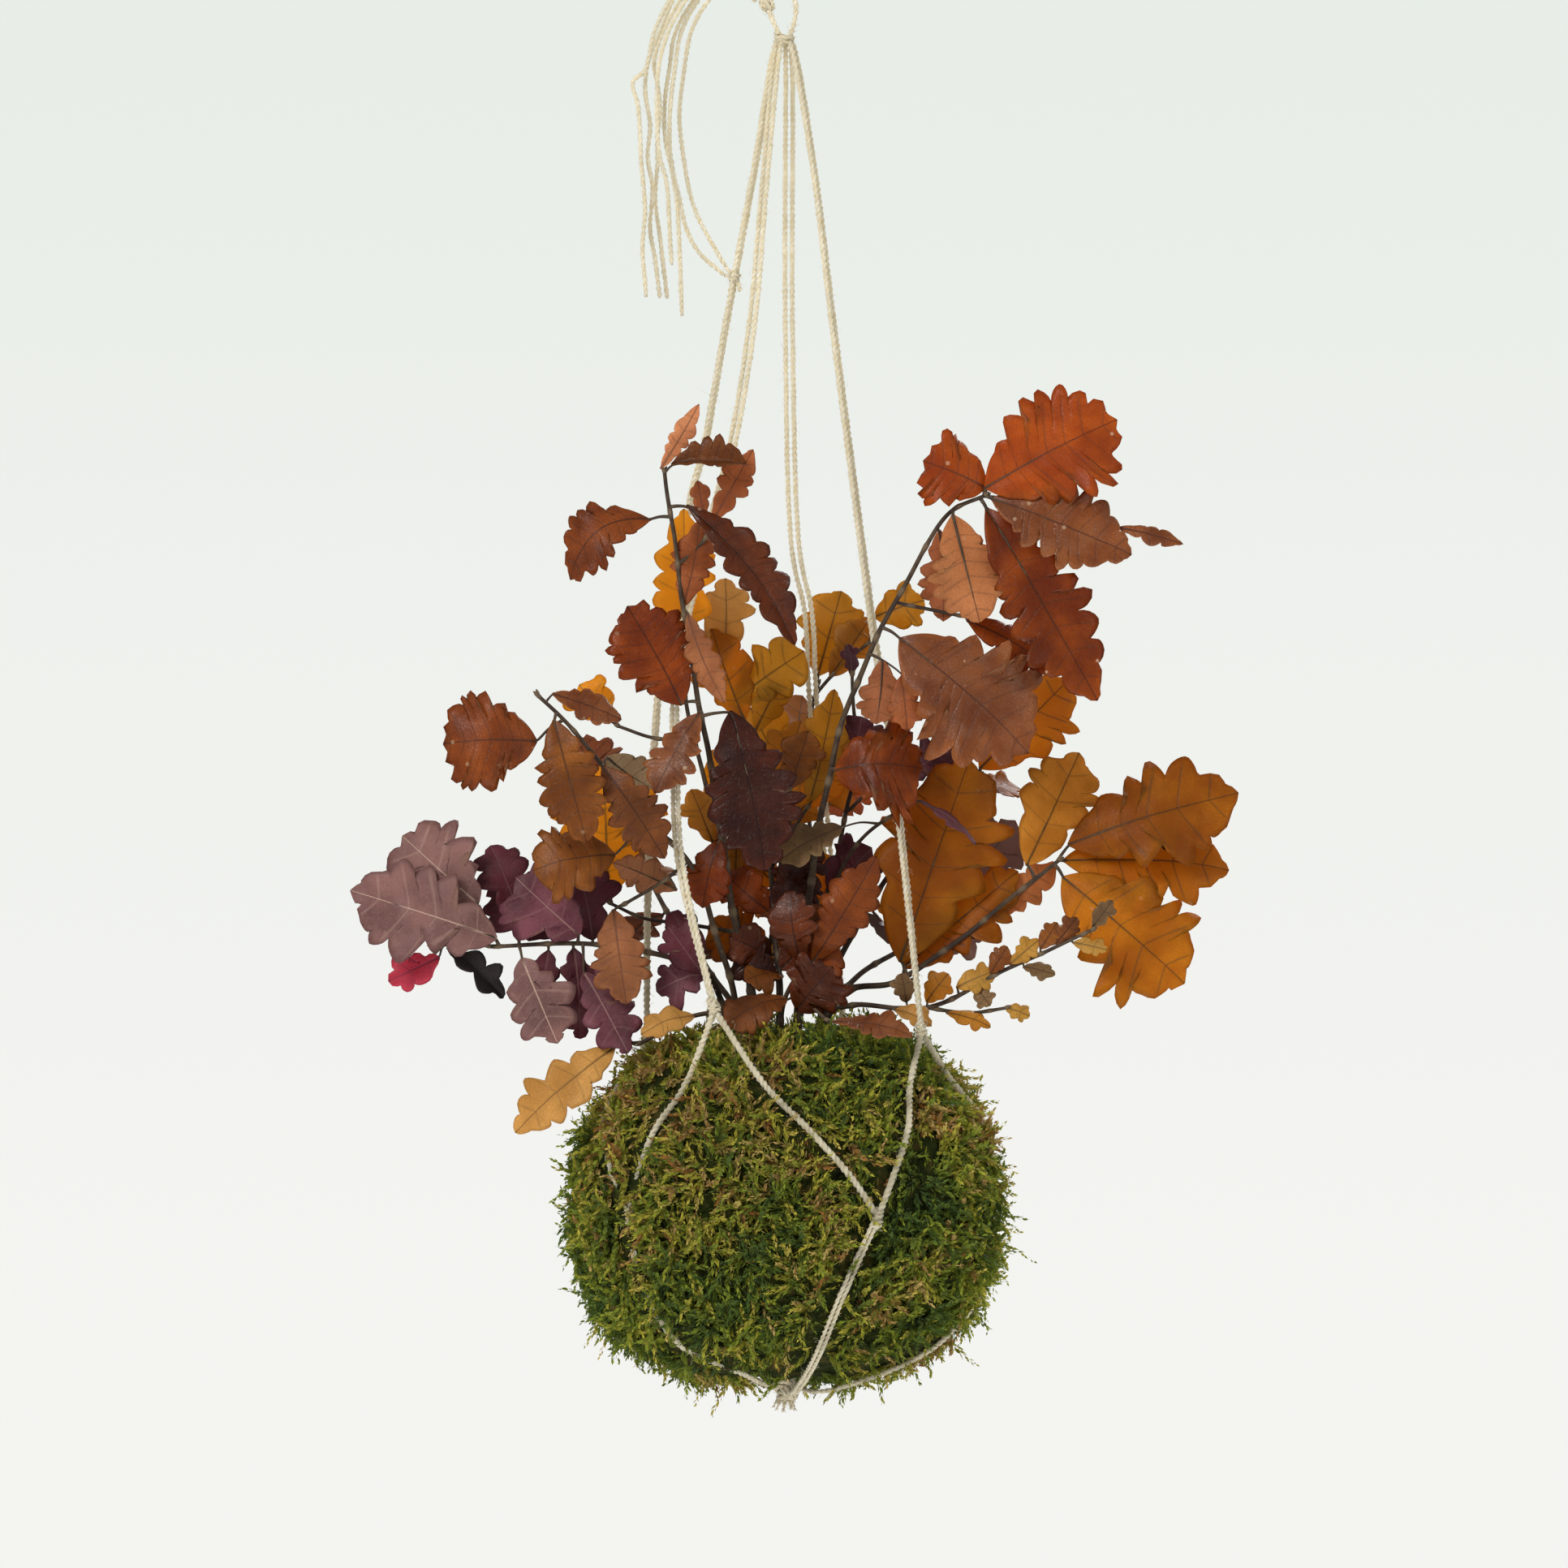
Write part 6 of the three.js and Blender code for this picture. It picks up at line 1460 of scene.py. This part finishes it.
@dataclass
class Sprigs:
    """Shoots of feather moss, all laid as small leaflets round a curved stem."""

    leaflets: int = 14

    def mesh(self, base: np.ndarray, along: np.ndarray, up: np.ndarray, size: np.ndarray,
             tint: np.ndarray, chance: np.random.Generator) -> Heap:
        """Grows the shoots.

        Args:
            base: where each shoot starts.
            along: the way that it lies.
            up: the way out of the moss.
            size: length of each.
            tint: its place between fresh green and rust.
            chance: source of the small differences.

        Returns:
            The heap with all the shoots.
        """
        count, n = len(base), self.leaflets
        side = unit(np.cross(along, up))
        bend = chance.normal(0, 0.28, (count, 1, 1))
        curl = chance.uniform(-0.32, 0.2, (count, 1, 1))
        t = np.linspace(0, 1, n)[None, :, None] ** 0.9
        length = size[:, None, None]
        centre = (base[:, None] + along[:, None] * length * t + side[:, None] * length * bend * t**2
                  + up[:, None] * length * curl * t**2)
        ahead = unit(along[:, None] + 2 * side[:, None] * bend * t + 2 * up[:, None] * curl * t)
        turn = (np.arange(n) * LEAFLET_TURN)[None, :, None] + chance.uniform(0, 6.3, (count, 1, 1))
        first = unit(np.cross(ahead, up[:, None]))
        second = np.cross(first, ahead)
        out = first * np.cos(turn) + second * np.sin(turn) * 0.8
        flat = np.cross(ahead, out)
        wide = np.minimum(length / 6.0, WIDEST_LEAFLET) * (1.12 - 0.62 * t)
        wide = wide * chance.uniform(0.8, 1.2, (count, n, 1))
        tip = centre + ahead * wide * 1.75 + out * wide * 0.95
        middle = centre + ahead * wide * 0.6 + out * wide * 0.5
        corners = np.stack([centre - ahead * wide * 0.3, middle - flat * wide * 0.55, tip,
                            middle + flat * wide * 0.55], 2)
        # painted shade for the finish: 0 at a leaflet's base corner, more at its sides and tip, and more
        # further along the shoot
        painted_shade = np.broadcast_to(np.array((0.0, 0.55, 1.0, 0.55)) * 0.7, (count, n, 4))
        painted_shade = np.clip(painted_shade + 0.3 * t, 0, 1)
        tints = np.clip(tint[:, None, None] + chance.normal(0, 0.035, (count, n, 1)) + 0.05 * t, 0, 1)
        heap = Heap()
        start = np.arange(count * n)[:, None] * 4
        heap.add(corners.reshape(-1, 3), tris=np.vstack([start + (0, 1, 2), start + (0, 2, 3)]),
                 tint=np.broadcast_to(tints, (count, n, 4)).ravel(), tip=painted_shade.ravel())
        return heap


@dataclass
class Ball:
    """The moss cover with its shoots, and the peat inside it."""

    lines: list[np.ndarray]
    finish: MossFinish = MossFinish()
    soil: SoilFinish = SoilFinish()
    shoots: int = 13400
    quarters: int = 4

    def remeshed(self, node: str, name: str, voxel: float) -> bpy.types.Object:
        """A closed even mesh from a packed soft solid."""
        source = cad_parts[node]
        piece = bpy.data.objects.new(name, source.data.copy())
        bpy.context.scene.collection.objects.link(piece)
        only(piece)
        bpy.ops.object.mode_set(mode="EDIT")
        bpy.ops.mesh.select_all(action="SELECT")
        bpy.ops.mesh.remove_doubles(threshold=0.00002)
        bpy.ops.object.mode_set(mode="OBJECT")
        skin = piece.modifiers.new("even", "REMESH")
        skin.mode = "VOXEL"
        skin.voxel_size = voxel * MM
        bpy.ops.object.modifier_apply(modifier=skin.name)
        piece.data.materials.clear()
        piece.data.shade_smooth()
        return piece

    def roughen(self, piece: bpy.types.Object, inward: float, relief: float, scale: float) -> None:
        """Moves a mesh's points in and lets them rise again unevenly."""
        mesh = piece.data
        points, normals = read(mesh.vertices, "co", 3) / MM, read(mesh.vertices, "normal", 3)
        rough = np.array([noise.fractal(Vector(point / scale), 0.7, 2.1, 3) for point in points])
        move(mesh, points + normals * (relief * np.clip(rough, -1, 1) - inward)[:, None])
        mesh.update()

    def bed(self) -> bpy.types.Object:
        """The matted bed that carries the shoots."""
        piece = self.remeshed("moss_cover", "moss_bed", 3.0)
        self.roughen(piece, 1.3, 2.4, 11.0)
        piece.data.materials.append(self.finish.bed())
        return report(piece, "moss", "moss_cover")

    def peat(self) -> None:
        """The peat that shows in the mouth of the moss, with its crumbs."""
        piece = self.remeshed("soil_core", "peat", 3.2)
        self.roughen(piece, 0.3, 1.2, 4.0)
        piece.data.materials.append(self.soil.material())
        report(piece, "soil", "soil_core")

    def tint(self, points: np.ndarray) -> np.ndarray:
        """How dry the moss is at points from the ball's centre: 0 fresh green to 1 rusty."""
        shift = np.array((3.1, 0.4, 7.7))
        large = np.array([noise.fractal(Vector(p / 34 + shift), 0.8, 2.0, 3) for p in points])
        small = np.array([noise.noise(Vector(p / 6)) for p in points])
        x, z = points[:, 0] / BALL_RADIUS, points[:, 2] / BALL_HALF_HEIGHT
        dry = 0.2 * np.exp(-((x + 0.45) ** 2 + (z - 0.35) ** 2) / 0.12)
        sunny = 0.12 * np.exp(-((x - 0.6) ** 2 + (z + 0.45) ** 2) / 0.16)
        green = 0.16 * np.exp(-((x + 0.3) ** 2 + (z + 0.5) ** 2) / 0.1)
        top = 0.14 * smoothstep(0.0, 0.7, z)
        return 0.33 + 0.66 * large + 0.2 * small + dry + sunny + top - green

    def seats(self, bed: bpy.types.Object, count: int, chance: np.random.Generator,
              ) -> tuple[np.ndarray, np.ndarray]:
        """Random places on the bed's outside and the ways out of it there."""
        faces = bed.data.polygons
        centres = read(faces, "center", 3).astype(float) / MM
        normals, areas = read(faces, "normal", 3).astype(float), read(faces, "area").astype(float)
        outward = unit(centres - BALL_CENTRE)
        outside = (normals * outward).sum(1) > 0.05
        chosen = chance.choice(len(faces), count, p=areas * outside / (areas * outside).sum())
        jitter = np.cross(normals[chosen], chance.normal(0, 1, (count, 3)))
        return centres[chosen] + jitter, unit(normals[chosen] * 0.5 + outward[chosen])

    def nearest_strand(self, points: np.ndarray) -> tuple[np.ndarray, np.ndarray]:
        """How far from the net's strands points lie, and the ways to the nearest one."""
        strands = np.vstack(self.lines)
        tree = KDTree(len(strands))
        for index, point in enumerate(strands):
            tree.insert(point, index)
        tree.balance()
        nearest = [tree.find(point) for point in points]
        gap = np.array([found[2] for found in nearest])
        return gap, unit(np.array([found[0] for found in nearest]) - points)

    def tufts(self, bed: bpy.types.Object, chance: np.random.Generator,
              ) -> tuple[np.ndarray, np.ndarray, np.ndarray]:
        """Where the shoots start, the ways out of the moss there, and how high its tufts are."""
        base, up = self.seats(bed, self.shoots, chance)
        around = (base - BOTTOM_KNOT) * (0.8, 0.8, 1.0)
        around[:, 1] *= np.where(around[:, 1] < 0, 0.36, 1.0)
        clear = np.linalg.norm(around, axis=1) > KNOT_CLEARANCE
        tuft = np.array([noise.noise(Vector(point / TUFT)) for point in base])
        kept = clear & (chance.random(len(base)) > smoothstep(-0.1, -0.5, tuft) * 0.7)
        return base[kept], up[kept], tuft[kept]

    def tints(self, base: np.ndarray, chance: np.random.Generator) -> np.ndarray:
        """Each shoot's tint: that of its place, scattered, with some dry and some fresh ones among them."""
        tint = self.tint(base - BALL_CENTRE)
        tint = tint + chance.normal(0, 0.17, len(base))
        stray = chance.random(len(base))
        tint = tint + np.where(stray < DRY_SHARE, chance.uniform(0.15, 0.45, len(base)), 0.0)
        return np.clip(tint - np.where(stray > 1 - FRESH_SHARE, 0.25, 0.0), 0, 1)

    def grow(self, bed: bpy.types.Object) -> None:
        """Covers the bed with shoots, lower where the net presses on them."""
        chance = np.random.default_rng(17)
        base, up, tuft = self.tufts(bed, chance)
        gap, towards = self.nearest_strand(base)
        gap = np.maximum(gap - 5.0 * smoothstep(-535, LOWEST, base[:, 2]), 0.0)
        noise.seed_set(FLOW_SEED)
        flow = np.array([noise.noise_vector(Vector(point / 22)) for point in base])
        along = unit(flow + chance.normal(0, 0.55, base.shape) + (0, 0, -0.12))
        along = unit(along - up * (along * up).sum(1, keepdims=True))
        size = chance.uniform(*SHOOT_LENGTHS, len(base))
        size *= 1 - 0.4 * smoothstep(-540, LOWEST, base[:, 2]) * smoothstep(12, -4, base[:, 1])
        free = smoothstep(2.4, 9.0, gap)
        inward = np.maximum((along * towards).sum(1), 0) * 1.7 * smoothstep(11.0, 4.0, gap)
        along = unit(along - towards * inward[:, None])
        over = chance.random(len(base)) < OVER_SHARE
        lift = (0.06 + (0.6 + 0.5 * tuft) * free) * chance.uniform(0.2, 1.5, len(base))
        lift = lift + 0.3 * over * (1 - free)
        along = unit(along + up * lift[:, None])
        size *= 0.62 + 0.38 * free
        base = base + up * (3.0 * tuft * free - 0.5 - 1.7 * (1 - free) * (1 - 0.6 * over))[:, None]
        tint = self.tints(base, chance)
        material = self.finish.shoots()
        quarter = np.floor((np.arctan2(base[:, 1], base[:, 0]) + np.pi) / (2 * np.pi) * self.quarters)
        for k in range(self.quarters):
            own = quarter.astype(int) % self.quarters == k
            heap = Sprigs().mesh(base[own], along[own], up[own], size[own], tint[own], chance)
            report(heap.piece(f"moss_shoots_{k}", material), "moss", "moss_cover")

    def strays(self) -> None:
        """Longer sprigs that stand off where the ball is ragged."""
        chance = np.random.default_rng(23)
        base, up = [], []
        scattered = [(chance.uniform(-180, 180), math.degrees(math.asin(chance.uniform(-0.97, 0.8))), 1)
                     for _ in range(LONE_SPRIGS)]
        for azimuth, latitude, count in (*RAGGED, *scattered):
            for _ in range(count):
                turn, rise = chance.normal(0, 7, 2)
                point = over_ball(azimuth + turn, min(latitude + rise, 66), -1.5)
                if np.linalg.norm(point - BOTTOM_KNOT) >= SPRIG_CLEARANCE:
                    base.append(point)
                    up.append(unit(point - BALL_CENTRE))
        base, up = np.array(base), np.array(up)
        sideways = np.cross(up, chance.normal(0, 1, base.shape))
        along = unit(sideways + up * chance.uniform(0.5, 1.3, (len(base), 1)) + (0, 0, -0.25))
        size = chance.uniform(0, 1, len(base)) ** 2 * SPRIG_EXTRA + SPRIG_LENGTH
        forward = -along[:, 1]
        room = np.where(forward > 0.1, (base[:, 1] + FRONT_LIMIT) / np.maximum(forward, 0.1), math.inf)
        size = np.minimum(size, np.maximum(room, SHORTEST_SPRIG))
        tint = np.clip(chance.normal(0.42, 0.16, len(base)), 0, 0.85)
        heap = Sprigs(18).mesh(base, along, up, size, tint, chance)
        report(heap.piece("moss_sprigs", self.finish.shoots()), "moss", "moss_cover")


# Stage, light and camera

FLOOR = -1000.0
FLAT = 4300.0  # radius of the flat floor
BEND = 1700.0  # radius at which it turns up into the wall
BOWL_SIDES = 96
AIM = (0, 0, -0.32)
EYE = (0.0, -3.0, -0.3237)
LENS = 167.7
WORLD = (0.5, 0.505, 0.5, 1)


def stage() -> None:
    """A pale floor that turns up into a wall all round, glowing with its own light and seen only by the
    camera.
    """
    s = Shader("studio_paper")
    height = s.node("ShaderNodeSeparateXYZ", None, {"Vector": s.place}, "Z")
    colour = s.blend(height.band(-1.1, 1.1), linear((244, 244, 241)), linear((230, 236, 230)))
    material = s.finish(s.node("ShaderNodeEmission", None, {"Color": colour, "Strength": 1.0}))
    angles = np.linspace(0, 2 * np.pi, BOWL_SIDES, endpoint=False)
    profile = [(0.0, FLOOR), (2500.0, FLOOR), (FLAT, FLOOR)]
    profile += [(FLAT + BEND * math.sin(a), FLOOR + BEND * (1 - math.cos(a)))
                for a in np.linspace(0.1, np.pi / 2, 14)]
    profile += [(6000.0, 2500.0), (5600.0, 4200.0), (4200.0, 5400.0), (0.0, 5900.0)]
    rings = np.array([[(r * math.cos(a), r * math.sin(a), z) for a in angles] for r, z in profile])
    i, k = np.meshgrid(np.arange(len(profile) - 1), np.arange(BOWL_SIDES), indexing="ij")
    a, b = i * BOWL_SIDES + k, i * BOWL_SIDES + (k + 1) % BOWL_SIDES
    heap = Heap()
    heap.add(rings.reshape(-1, 3), np.stack([a, a + BOWL_SIDES, b + BOWL_SIDES, b], -1).reshape(-1, 4))
    bowl = heap.piece("studio_bowl", material)
    bowl.visible_diffuse = bowl.visible_glossy = bowl.visible_transmission = bowl.visible_shadow = False


@dataclass(frozen=True)
class Lamp:
    """A soft square light that points at the middle of the plant."""

    name: str
    place: Point
    size: float
    power: float
    colour: tuple[float, float, float] = (1.0, 1.0, 1.0)

    def build(self) -> None:
        """Adds the light."""
        data = bpy.data.lights.new(self.name, "AREA")
        data.shape, data.size, data.energy, data.color = "SQUARE", self.size, self.power, self.colour
        lamp = bpy.data.objects.new(self.name, data)
        bpy.context.scene.collection.objects.link(lamp)
        lamp.location = self.place
        aim = Vector(AIM) - lamp.location
        lamp.rotation_euler = aim.to_track_quat("-Z", "Y").to_euler()


LAMPS = (
    Lamp("key", (-1.5, -1.9, 1.1), 1.1, 58, (1.0, 0.985, 0.96)),
    Lamp("fill", (2.2, -1.6, 0.2), 1.6, 15, (0.97, 0.985, 1.0)),
    Lamp("back", (0.9, 1.9, 1.0), 1.2, 44),
    Lamp("floor", (0.1, -0.9, -2.0), 1.5, 24, (1.0, 0.99, 0.97)),
)


def camera() -> None:
    """Level, square on to the plant, with the photograph's field."""
    data = bpy.data.cameras.new("camera")
    data.lens, data.sensor_width, data.clip_end = LENS, 36.0, 40.0
    eye = bpy.data.objects.new("camera", data)
    eye.location = EYE
    eye.rotation_euler = (math.pi / 2, 0.0, 0.0)
    scene = bpy.context.scene
    scene.collection.objects.link(eye)
    scene.camera = eye
    scene.view_settings.view_transform = "Standard"
    scene.world = bpy.data.worlds.new("pale")
    scene.world.use_nodes = True
    scene.world.node_tree.nodes["Background"].inputs["Color"].default_value = WORLD


def main() -> None:
    """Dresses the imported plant, lights it and keeps its size."""
    logging.basicConfig(level=logging.INFO, format="%(name)s %(message)s")
    camera()
    net = Net()
    for seed, name in enumerate(TAILS):
        net.tail(name, 11 + seed)
    net.loop()
    for seed, name in enumerate(LEGS):
        net.leg(name, 31 + seed)
    for seed, name in enumerate(MID_KNOTS):
        net.side(name, 51 + seed)
    net.bottom()
    finishes = {tone: tone.value.material(f"leaf_{tone.name.lower()}") for tone in Tone}
    for seed, branch in enumerate(BRANCHES):
        branch.build(seed + 1, finishes)
    ball = Ball(net.lines)
    bed = ball.bed()
    ball.peat()
    ball.grow(bed)
    ball.strays()
    stage()
    for lamp in LAMPS:
        lamp.build()


if __name__ == "__main__":
    main()
